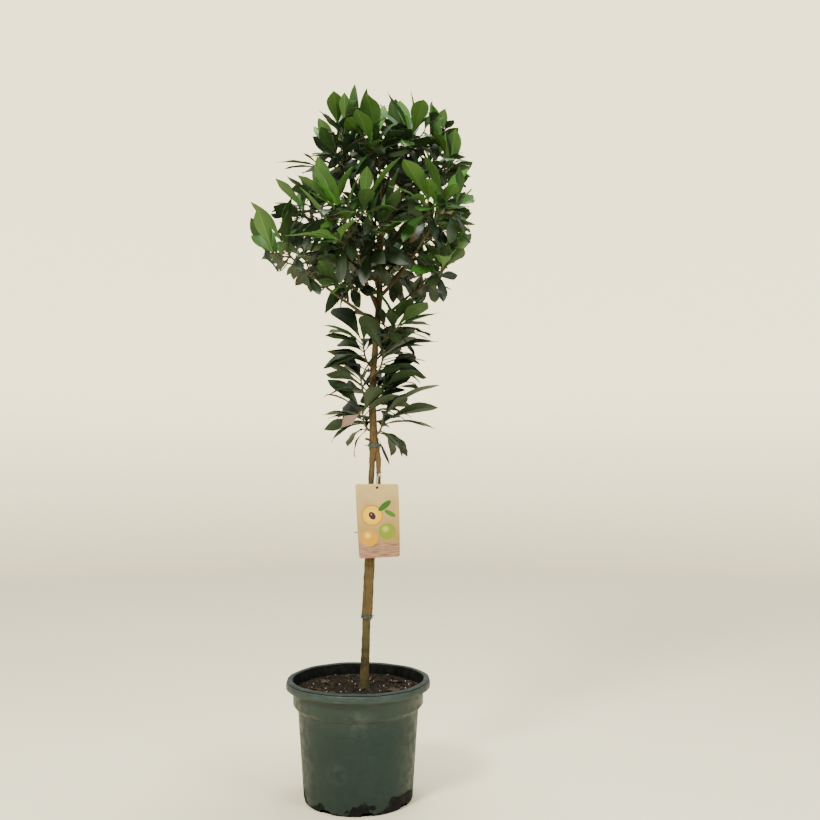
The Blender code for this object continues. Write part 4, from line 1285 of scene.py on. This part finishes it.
potLook = {
    "body": (0.0068, 0.0205, 0.0178),
    "faded": (0.040, 0.056, 0.048),
    "film": (0.040, 0.040, 0.021),
    "dust": (0.150, 0.165, 0.140),
    "mud": (0.0020, 0.0019, 0.0016),
    # inside: near-black, dirt and painted shade inside the pot together
    "inside": (0.0030, 0.0038, 0.0032),
    "silt": (0.0110, 0.0110, 0.0085),
    "scuff": (0.105, 0.120, 0.108),
    "dustSpots": (((-0.052, -0.15, 0.105), 0.035, 0.13), ((0.012, -0.168, 0.240), 0.05, 0.15)),
    "roughness": (0.42, 0.62),
    "sheen": 0.20,
    "cloudy": (9.0, 0.16),  # scale and softness
    "fine": (46.0, 0.10),
    "silty": (55.0, 0.12),
    "relief": (0.6, 0.0012),  # strength and depth
}


def potMaterial():
    look = potLook
    material, tree, shader, place = placedMaterial("potPlastic", look["body"], 0.5, look["sheen"])
    x, _, height = axesOf(tree, place)
    cloudy = grouped(tree, "patches", place, *look["cloudy"])
    fine = grouped(tree, "patches", place, *look["fine"])

    # paler with age towards the top, with a green film at both sides
    faded = times(tree, ranged(tree, height, 0.20, 0.315, 0.05, 0.85), ranged(tree, cloudy, 0, 1, 0.7, 1))
    tone = mixed(tree, faded, look["body"], look["faded"])
    film = times(tree, ranged(tree, x, 0.10, -0.16), 0.24, ranged(tree, cloudy, 0, 1, 0.30, 1))
    tone = mixed(tree, film, tone, look["film"])
    tone = mixed(tree, times(tree, ranged(tree, x, 0.09, 0.155), 0.22), tone, look["film"])

    # dust in a few spots and on the ledge under the neck, and scuffs round the rim
    dust = times(tree, fine, 0.03)
    for spot, reach, share in look["dustSpots"]:
        near = ranged(tree, away(tree, place, "DISTANCE", spot), reach, reach * 0.2)
        dust = plus(tree, dust, times(tree, near, fine, share))
    ledge = times(tree, ranged(tree, height, 0.2290, 0.2370), ranged(tree, height, 0.2480, 0.2400))
    dust = plus(tree, dust, times(tree, ledge, cloudy, 0.12))
    tone = mixed(tree, dust, tone, look["dust"])
    lines = ranged(tree, clouds(tree, stretched(tree, place, (1, 1, 14)), 34.0, 4.0), 0.52, 0.68)
    scuffs = times(tree, ranged(tree, height, 0.27, 0.30, 0.05, 0.35), lines)
    tone = mixed(tree, scuffs, tone, look["scuff"])

    # wet mud that ran out of the drains, in a ragged band round the foot
    ragged = ranged(tree, clouds(tree, place, 13.0, 6.0, 0.62), 0.40, 0.68, 0.002, 0.046)
    right = ranged(tree, x, 0.02, 0.12, 0, 0.006)
    left = ranged(tree, x, -0.122, -0.142, 0, 0.034)
    line = plus(tree, ragged, right, left)
    mud = ranged(tree, sums(tree, "SUBTRACT", line, height), -0.0015, 0.0025)
    rough = plus(tree, ranged(tree, fine, 0, 1, *look["roughness"]), times(tree, mud, 0.3))
    feed(tree, shader, {"Base Color": mixed(tree, mud, tone, look["mud"]), "Roughness": rough})
    grain = times(tree, clouds(tree, place, 900.0, 2.0), 0.08)
    clods = times(tree, clouds(tree, place, 240.0, 4.0), mud, 1.4)
    bumped(tree, shader, plus(tree, grain, clods), *look["relief"])
    return material


def potProfile():
    # radius and height, from the underside's middle round the rim to the inside's middle
    p = potSize
    top, rim, rimBottom, mouth, wall = p["top"], p["rim"], p["rimBottom"], p["mouth"], p["wall"]
    body, foot, footRound, neck = p["body"], p["foot"], p["footRound"], p["neck"]
    return (
        (0, 0.0004),
        (foot - 0.016, 0.0004),
        (foot - 0.014, 0),
        (foot - footRound, 0),
        (foot - footRound * 0.55, footRound * 0.10),
        (foot - footRound * 0.18, footRound * 0.42),
        (foot, footRound),
        (body, p["stepBottom"]),
        (body + 0.0022, p["stepBottom"] + 0.0012),
        (neck - 0.0022, p["neckBottom"] - 0.0016),
        (neck, p["neckBottom"] + 0.0015),
        (neck, rimBottom - 0.004),
        (mouth + wall, top - wall),
        (rim - wall, top - wall),
        (rim - wall, rimBottom),
        (rim - 0.0008, rimBottom - 0.0002),
        (rim, rimBottom + 0.0010),
        (rim + 0.0003, top - 0.0150),
        (rim - 0.0003, top - 0.0105),
        (rim - 0.0016, top - 0.0066),
        (rim - 0.0037, top - 0.0034),
        (rim - 0.0066, top - 0.0012),
        (rim - 0.0100, top),
        (mouth + 0.0044, top),
        (mouth + 0.0015, top - 0.0008),
        (mouth, top - 0.0030),
        (neck - wall, rimBottom - 0.004),
        (neck - wall, p["neckBottom"] + 0.001),
        (body - wall, p["stepBottom"] + 0.001),
        (foot - wall, footRound),
        (foot - wall - 0.004, wall),
        (0, wall),
    )


def drainCutters():
    p = potSize
    bm = bmesh.new()
    for index in range(p["drains"]):
        turn = Matrix.Rotation(p["drainTurn"] + index * tau / p["drains"], 4, "Z")
        place = turn @ Matrix.Translation((p["foot"], 0, p["drainHeight"] / 2 - 0.001))
        size = Matrix.Diagonal((p["drainDepth"], p["drainWidth"], p["drainHeight"] + 0.002, 1))
        bmesh.ops.create_cube(bm, size=1, matrix=place @ size)
    level = [edge for edge in bm.edges if abs(edge.verts[0].co.z - edge.verts[1].co.z) < 0.001]
    high = [edge for edge in level if edge.verts[0].co.z > 0]
    shape = {"offset": p["drainRound"], "segments": 3, "affect": "EDGES", "profile": 0.5}
    bmesh.ops.bevel(bm, geom=high, material=-1, **shape)
    return meshOf(bm, "drains")


def makePot():
    p = potSize
    bm = spun(potProfile(), p["steps"])
    for vert in bm.verts:  # thin plastic is never quite round
        turn = math.atan2(vert.co.y, vert.co.x)
        high = min(vert.co.z / p["top"], 1)
        out = 1 + 0.0035 * high * sin(2 * turn + 0.6) + 0.0012 * high * sin(5 * turn)
        vert.co.x *= out
        vert.co.y *= out
        if vert.co.z > p["rimBottom"] - 0.003:
            vert.co.z += 0.0007 * sin(3 * turn + 1.0) + 0.0004 * sin(11 * turn)
    mesh = finished("potDraft", meshOf(bm, "potDraft"), drainCutters())
    # inward faces under the rim and the floor inside get the near-black colour: dirt and painted shade inside
    # the pot
    for face in mesh.polygons:
        inward = face.normal.x * face.center.x + face.normal.y * face.center.y < -0.01 * p["mouth"]
        isFloor = face.normal.z > 0.9 and face.center.z < p["neckBottom"]
        face.material_index = 1 if (inward and face.center.z < p["top"] - 0.004) or isFloor else 0
    inside, tree, shader, place = placedMaterial("potInsideSiltAndShade", potLook["inside"], 0.9, 0.08)
    silt = times(tree, grouped(tree, "patches", place, *potLook["silty"]), 0.6)
    feed(tree, shader, {"Base Color": mixed(tree, silt, potLook["inside"], potLook["silt"])})
    show("potShell", mesh, [potMaterial(), inside], ["pot"], smooth=40)


soilLook = {
    "top": 0.2800,
    "bottom": 0.262,
    "reach": 0.1648,
    "rings": 26,
    "steps": 120,
    "crumbs": (900, (0.0012, 0.0042), 0.2),  # number, sizes, share above the soil
    "perlite": (46, (0.0010, 0.0022), 0.5),
    "dark": (0.0085, 0.0070, 0.0042),
    "light": (0.0290, 0.0215, 0.0120),
    "bits": (0.045, 0.034, 0.019),
    "crumbTones": ((0.013, 0.0100, 0.0062), (0.030, 0.0220, 0.0125), (0.070, 0.050, 0.026)),
    "perliteTone": (0.46, 0.45, 0.40),
    "roughness": 0.95,
    "sheen": 0.15,
    "clods": (75.0, 0.12),
    "flecks": (150.0, 0.28),
    "relief": (0.9, 0.003),
}

litter = (  # dry leaves on the soil: middle, turn in degrees, length, colour
    ((-0.112, -0.018), 12, 0.100, "tan"),
    ((-0.060, -0.060), 40, 0.088, "brown"),
    ((0.070, -0.092), -8, 0.105, "tan"),
    ((0.092, -0.020), 35, 0.080, "brown"),
    ((0.020, 0.090), 80, 0.095, "tan"),
    ((-0.085, 0.060), -50, 0.085, "brown"),
    ((0.100, 0.070), 150, 0.090, "brown"),
)

hanging = (  # withered leaves low on the trunk: root, way, length, width's share, colour
    ((0.050, -0.009, 0.934), (0.42, -0.12, -0.90), 0.078, 0.11, "black"),
    ((0.010, -0.013, 0.998), (-0.80, -0.12, -0.50), 0.068, 0.44, "pink"),
)


def soilHeight(x, y):
    place = Vector((x, y, 0))
    rise = noise.noise(place * 16) * 0.0030 + noise.noise(place * 60) * 0.0020
    mound = 0.004 * math.exp(-((x - 0.015) ** 2 + y**2) / 0.0016)
    return soilLook["top"] + 0.0015 + rise + mound


def scattered(count, sizes, sink, chance):
    # places, turns and sizes of small pieces on the soil
    placings = []
    for _ in range(count):
        reach = soilLook["reach"] * math.sqrt(chance.random()) * 0.97
        turn = chance.uniform(0, tau)
        x, y = reach * cos(turn), reach * sin(turn)
        size = chance.uniform(*sizes)
        angle = chance.uniform(0, tau)
        spin = Matrix.Rotation(angle, 4, Vector([chance.uniform(-1, 1) for _ in range(3)]))
        scale = Matrix.Diagonal((size, size * chance.uniform(0.6, 1), size * chance.uniform(0.5, 0.9), 1))
        placings.append(Matrix.Translation((x, y, soilHeight(x, y) + size * sink)) @ spin @ scale)
    return placings


def copies(crumb, placings, dealt):
    # one small shape at many places, each with its own material
    spots = np.array([vert.co for vert in crumb.verts])
    faces = [[vert.index for vert in face.verts] for face in crumb.faces]
    parts = []
    for matrix, look in zip(placings, dealt):
        turn = np.array(matrix.to_3x3())
        parts.append((spots @ turn.T + np.array(matrix.translation), faces, [look] * len(faces)))
    return parts


def makeSoil():
    look = soilLook
    rings, reach, top, dull = look["rings"], look["reach"], look["top"], (look["roughness"], look["sheen"])
    profile = [(0, look["bottom"]), (reach, look["bottom"])]
    bm = spun(profile + [(reach * (1 - k / rings), top) for k in range(rings + 1)], look["steps"])
    for vert in bm.verts:
        if vert.co.z > top - 0.001:
            vert.co.z = soilHeight(vert.co.x, vert.co.y)
    material, tree, shader, place = placedMaterial("pottingSoil", look["dark"], *dull)
    clods = grouped(tree, "patches", place, *look["clods"])
    bits = grouped(tree, "flecks", place, *look["flecks"])
    tone = mixed(tree, times(tree, clods, 0.6), look["dark"], look["light"])
    feed(tree, shader, {"Base Color": mixed(tree, times(tree, bits, 0.55), tone, look["bits"])})
    bumped(tree, shader, plus(tree, clods, bits), *look["relief"])
    show("soilTop", meshOf(bm, "soilTop"), [material], ["soil"], smooth=60)

    chance = random.Random(seeds["soil"])
    crumb = bmesh.new()
    bmesh.ops.create_icosphere(crumb, subdivisions=1, radius=1)
    for vert in crumb.verts:
        vert.co *= 1 + 0.25 * noise.noise(vert.co * 2.3)
    placings = scattered(*look["crumbs"], chance)
    dealt = [chance.choice((0, 0, 0, 1, 1, 2)) for _ in placings]
    tones = [plainMaterial(f"crumb{k}", colour, *dull)[0] for k, colour in enumerate(look["crumbTones"])]
    show("soilCrumbs", joined("soilCrumbs", copies(crumb, placings, dealt)), tones)
    placings = scattered(*look["perlite"], chance)
    white = plainMaterial("perlite", look["perliteTone"], 0.9)[0]
    show("perlite", joined("perlite", copies(crumb, placings, [0] * len(placings))), [white])
    crumb.free()
    makeLitter(chance)


def makeLitter(chance):
    template = bladeTemplate()
    faces = template[3]
    names = list(wornColours)
    dry = []
    for (x, y), turn, length, colour in litter:
        way = Vector((cos(radians(turn)), sin(radians(turn)), 0.05)).normalized()
        start = Vector((x, y, soilHeight(x, y) + 0.004)) - way * length / 2
        dry.append((start, way, upright, length, 0.24, colour))
    for start, way, length, share, colour in hanging:
        dry.append((Vector(start), Vector(way).normalized(), Vector((0, -1, 0.3)), length, share, colour))
    parts = []
    for start, way, face, length, share, colour in dry:
        face = (face - way * face.dot(way)).normalized()
        leaf = {
            "root": start,
            "shape": (way, face, length, length * share, 0.35),
            "slim": 1.0,
            "taper": 1.1,
            "sharp": 1.3,
            "fold": (0.55, 0.35),
            "wave": 0.0035,
            "waves": chance.uniform(1.2, 2.0),
            "phase": chance.uniform(0, tau),
            "twist": chance.uniform(-0.5, 0.5),
            "curl": 1.0,
        }
        parts.append((bladePoints(template, leaf), faces, [names.index(colour)] * len(faces)))
    dull = bladeLook["dryRoughness"]
    tones = [plainMaterial("dry_" + name, wornColours[name], dull)[0] for name in names]
    show("dryLeaves", joined("dryLeaves", parts), tones, smooth=bladeLook["smooth"])


# Card, string and ties

cardSize = {
    "width": 0.111,
    "height": 0.189,
    "thick": 0.0007,
    "corner": 0.006,
    "cornerSteps": 5,
    "top": Vector((0.0487, -0.0195, 0.8140)),
    "footShift": Vector((0.0075, -0.004, 0)),
    "twist": radians(22),
    "bow": 0.0016,
    "rows": 36,
    "columns": 12,
    "hole": 0.0035,
    "holeDrop": 0.009,
}

cardInk = {
    "ground": (0.330, 0.205, 0.060),
    "groundTop": (0.520, 0.370, 0.140),
    "shelf": (0.200, 0.088, 0.042),
    "shelfLight": (0.400, 0.235, 0.145),
    "shelfTop": 0.34,  # in shares of the card's width, from its lower edge
    "back": (0.60, 0.53, 0.41),
}

cardShapes = (  # middle and reach along x and y from the lower left corner, turn in degrees, softness, colour
    (0.36, 0.98, 0.260, 0.250, 10, 0.03, (0.480, 0.205, 0.004)),
    (0.36, 0.98, 0.228, 0.218, 10, 0.06, (0.720, 0.440, 0.010)),
    (0.36, 0.98, 0.150, 0.145, 10, 0.50, (0.800, 0.560, 0.050)),
    (0.36, 0.97, 0.078, 0.104, 35, 0.10, (0.050, 0.008, 0.022)),
    (0.34, 1.00, 0.020, 0.028, 35, 0.60, (0.420, 0.160, 0.160)),
    (0.70, 0.60, 0.210, 0.195, 0, 0.03, (0.190, 0.240, 0.014)),
    (0.66, 0.66, 0.110, 0.100, 0, 0.80, (0.420, 0.460, 0.060)),
    (0.27, 0.46, 0.205, 0.195, 0, 0.03, (0.560, 0.270, 0.006)),
    (0.23, 0.52, 0.105, 0.095, 0, 0.80, (0.800, 0.560, 0.060)),
    (0.66, 1.20, 0.190, 0.070, 38, 0.04, (0.030, 0.110, 0.010)),
    (0.78, 1.02, 0.150, 0.055, -30, 0.04, (0.055, 0.160, 0.016)),
)


def cardMaterial():
    ink = cardInk
    material, tree, shader = plainMaterial("cardPrint", ink["ground"], 0.45, 0.25)
    place = put(tree, "UVMap", uv_map="print")[0]
    high = axesOf(tree, place)[1]
    wash = ranged(tree, clouds(tree, place, 3.0, 3.0), 0.3, 0.7, -0.25, 0.25)
    tall = plus(tree, ranged(tree, high, 0.3, 1.7), wash)
    tone = mixed(tree, ranged(tree, tall, 0, 1), ink["ground"], ink["groundTop"])
    board = ranged(tree, clouds(tree, stretched(tree, place, (2.0, 26.0, 1.0)), 2.0, 2.0), 0.35, 0.65)
    shelf = mixed(tree, board, ink["shelf"], ink["shelfLight"])
    edge = ink["shelfTop"]
    tone = mixed(tree, ranged(tree, high, edge + 0.01, edge - 0.01), tone, shelf)
    for x, y, reachX, reachY, turn, soft, colour in cardShapes:
        moved = put(tree, "VectorMath", {0: place, 1: (x, y, 0)}, operation="SUBTRACT")[0]
        back = {"Vector": moved, "Angle": radians(-turn)}
        turned = put(tree, "VectorRotate", back, rotation_type="Z_AXIS")[0]
        shrink = (1 / reachX, 1 / reachY, 0)
        shrunk = put(tree, "VectorMath", {0: turned, 1: shrink}, operation="MULTIPLY")[0]
        tone = mixed(tree, ranged(tree, away(tree, shrunk), 1, 1 - soft), tone, colour)
    feed(tree, shader, {"Base Color": tone, "Coat Weight": 0.06, "Coat Roughness": 0.3})
    return material


def cardBlank():
    # a flat sheet with round corners, hanging down from the middle of its top edge
    c = cardSize
    half = Vector((c["width"] / 2 - c["corner"], 0, c["height"] / 2 - c["corner"]))
    bm = bmesh.new()
    outline = []
    for corner, (signX, signZ) in enumerate(((1, 1), (-1, 1), (-1, -1), (1, -1))):
        for step in range(c["cornerSteps"] + 1):
            angle = pi / 2 * (corner + step / c["cornerSteps"])
            x = signX * half.x + c["corner"] * cos(angle)
            z = signZ * half.z + c["corner"] * sin(angle) - c["height"] / 2
            outline.append(bm.verts.new((x, -c["thick"] / 2, z)))
    grown = bmesh.ops.extrude_face_region(bm, geom=[bm.faces.new(outline)])
    moved = [item for item in grown["geom"] if isinstance(item, bmesh.types.BMVert)]
    bmesh.ops.translate(bm, verts=moved, vec=(0, c["thick"], 0))
    bmesh.ops.recalc_face_normals(bm, faces=bm.faces)
    return meshOf(bm, "cardDraft")


def holeCutter():
    c = cardSize
    bm = bmesh.new()
    turned = Matrix.Translation((0, 0, -c["holeDrop"])) @ Matrix.Rotation(pi / 2, 4, "X")
    shape = {"segments": 24, "radius1": c["hole"], "radius2": c["hole"], "depth": 0.006}
    bmesh.ops.create_cone(bm, cap_ends=True, matrix=turned, **shape)
    return meshOf(bm, "holeCutter")


def makeCard():
    c = cardSize
    bm = bmesh.new()
    bm.from_mesh(finished("cardDraft", cardBlank(), holeCutter()))
    for count, axis, start, length in (
        (c["rows"], upright, -c["height"], c["height"]),
        (c["columns"], Vector((1, 0, 0)), -c["width"] / 2, c["width"]),
    ):
        for step in range(1, count):
            everything = list(bm.verts) + list(bm.edges) + list(bm.faces)
            cut = axis * (start + length * step / count)
            bmesh.ops.bisect_plane(bm, geom=everything, plane_co=cut, plane_no=axis)
    prints = bm.loops.layers.uv.new("print")
    bm.normal_update()
    for face in bm.faces:
        face.material_index = 0 if face.normal.y < -0.5 else 1
        for loop in face.loops:
            spot = loop.vert.co
            loop[prints].uv = (spot.x / c["width"] + 0.5, (spot.z + c["height"]) / c["width"])
    for vert in bm.verts:
        down = -vert.co.z / c["height"]
        across = vert.co.x / c["width"]
        bow = c["bow"] * sin(pi * down) * (1 - 4 * across * across)
        place = Matrix.Rotation(c["twist"] * down, 4, "Z") @ (vert.co + Vector((0, -bow, 0)))
        vert.co = c["top"] + c["footShift"] * down + place
    back = plainMaterial("cardBack", cardInk["back"], 0.7)[0]
    show("cardPrint", meshOf(bm, "cardPrint"), [cardMaterial(), back], ["card"], smooth=30)


def knotPath(middle, steps, size, deep, tall, drop=0.0):
    # twice round a small loop
    points = []
    for step in range(2 * steps):
        turn = tau * step / steps
        swing = Vector((cos(turn), deep * sin(2 * turn), tall * sin(turn) - drop * step / steps))
        points.append(middle + swing * size)
    return points


stringLook = {
    "radius": 0.0008,
    "height": 0.8430,
    "clearance": 0.0006,
    "steps": 8,
    "knot": 0.0021,
    "endRadius": 0.0007,
    "ends": (  # middle and tip of each, from the knot
        ((0.004, -0.002, 0.004), (0.009, -0.001, 0.005)),
        ((0.002, -0.003, -0.004), (0.006, -0.004, -0.011)),
    ),
    "colours": ((0.52, 0.49, 0.41), (0.80, 0.77, 0.69)),
}


def makeString():
    look = stringLook
    stem, radius = limbAt(secondRows, look["height"], secondForward)
    reach = radius + look["radius"] + look["clearance"]
    hole = cardSize["top"] - Vector((0, 0, cardSize["holeDrop"]))
    points = (
        stem + Vector((0, reach, 0.0010)),
        stem + Vector((-reach * 1.02, 0.001, 0)),
        stem + Vector((-reach * 0.72, -reach * 0.95, -0.0040)),
        hole + Vector((-0.001, 0.0045, 0.0120)),
        hole + Vector((0, 0.0028, 0.0033)),
        hole + Vector((0, -0.0026, 0.0033)),
        hole + Vector((0.001, -0.0024, 0.0115)),
        stem + Vector((-reach * 0.10, -reach - 0.0042, -0.0080)),
        stem + Vector((reach * 0.76, -reach * 0.92, -0.0025)),
        stem + Vector((reach * 1.04, 0.001, 0)),
    )
    route = []
    count = len(points)
    for index in range(count):
        a, b, c, d = (points[(index + k) % count] for k in (-1, 0, 1, 2))
        for step in range(look["steps"]):
            t = step / look["steps"]
            smooth = b + (c - a) * (0.5 * t) + (a * 2 - b * 5 + c * 4 - d) * (0.5 * t * t)
            route.append(smooth + (b * 3 - a - c * 3 + d) * (0.5 * t * t * t))
    # the knot in front of the stem, with two short ends
    front = stem + Vector((reach * 0.35, -reach - 0.0012, -0.0045))
    knot = knotPath(front, 11, look["knot"], 0.57, 1, 0.28)
    paths = [(knot, [look["radius"]] * len(knot))]
    for middle, end in look["ends"]:
        paths.append(([front, front + Vector(middle), front + Vector(end)], [look["endRadius"]] * 3))
    loop = (route, [look["radius"] * 0.9] * len(route))
    mesh = tubeMesh("cardString", ([loop], 8, True), (paths, 6, False))
    material, tree, shader, place = placedMaterial("stringTwist", look["colours"][0], 0.9)
    fuzz = clouds(tree, place, 1500.0, 2.0)
    feed(tree, shader, {"Base Color": mixed(tree, fuzz, *look["colours"])})
    bumped(tree, shader, fuzz, 0.5, 0.0002)
    show("cardString", mesh, [material], ["card_string"], smooth=60)


tieRows = (  # name, middle, reach along x and y, end that sticks out of the knot
    ("tie_lower", (0.0219, 0, 0.4690), 0.0139, 0.0139, (0.010, -0.006, 0.008)),
    ("tie_middle", (0.0352, -0.0022, 0.6920), 0.0180, 0.0136, (-0.034, -0.002, -0.002)),
    ("tie_upper", (0.0413, 0, 0.9130), 0.0158, 0.0152, (-0.014, -0.006, 0.001)),
)

tieLook = {
    "film": (0.033, 0.047, 0.033),
    "worn": (0.080, 0.102, 0.078),
    "wraps": 4,
    "wrapRise": 0.0021,
    "wrapTilt": 0.0012,
    "wrapRadius": 0.0011,
    "slack": 0.0006,
    "knotOut": 0.0036,
    "knotTurn": radians(57),
    "knotSize": 0.0023,
    "steps": 40,
}


def makeTies():
    look = tieLook
    material, tree, shader, place = placedMaterial("tieFilm", look["film"], 0.5)
    crease = clouds(tree, stretched(tree, place, (1, 1, 3.0)), 330.0, 3.0)
    tone = mixed(tree, ranged(tree, crease, 0.4, 0.7), look["film"], look["worn"])
    tree.links.new(tone, shader["Base Color"])
    bumped(tree, shader, crease, 0.8, 0.0008)
    for name, middle, reachX, reachY, tail in tieRows:
        chance = random.Random(name)
        middle = Vector(middle)
        tail = Vector(tail)
        wraps = []
        for wrap in range(look["wraps"]):
            rise = (wrap - (look["wraps"] - 1) / 2) * look["wrapRise"]
            tilt = chance.uniform(-look["wrapTilt"], look["wrapTilt"])
            ring = []
            for step in range(look["steps"]):
                turn = tau * step / look["steps"]
                x = (reachX + look["slack"]) * cos(turn)
                y = (reachY + look["slack"]) * sin(turn)
                ring.append(middle + Vector((x, y, rise + tilt * cos(turn + wrap))))
            wraps.append((ring, [look["wrapRadius"]] * look["steps"]))
        outX = math.copysign(reachX + look["knotOut"], tail.x) * cos(look["knotTurn"])
        outY = -(reachY + look["knotOut"]) * sin(look["knotTurn"])
        knotAt = middle + Vector((outX, outY, 0))
        loops = knotPath(knotAt, 13, look["knotSize"], 0.6, 1.3)
        shares = (0, 0.3, 0.6, 1)
        tailPath = [knotAt + tail * share + Vector((0, 0, 0.002 * sin(share * 5))) for share in shares]
        other = [knotAt, knotAt + Vector((-tail.x * 0.3, -0.003, -0.008))]
        knot = [
            (loops, [0.0013] * len(loops)),
            (tailPath, [0.0014, 0.0012, 0.0013, 0.0010]),
            (other, [0.0012, 0.0009]),
        ]
        mesh = tubeMesh(name, (wraps, 8, True), (knot, 8, False))
        show(name.replace("tie_", "tieWrap_"), mesh, [material], [name], smooth=60)


makeCamera()
makeLamps()
makeStage()
makeGroups()
print("studio ready")
boughs, ends = growLimbs()
masses = growMasses(boughs, ends)
print("plant grown")
makeUprights()
makeBoughs(boughs)
print("bark ready")
makeTwigs(masses)
makeLeaves(masses)
print("leaves ready")
makePot()
makeSoil()
print("pot ready")
makeCard()
makeString()
makeTies()
print("card and ties ready")
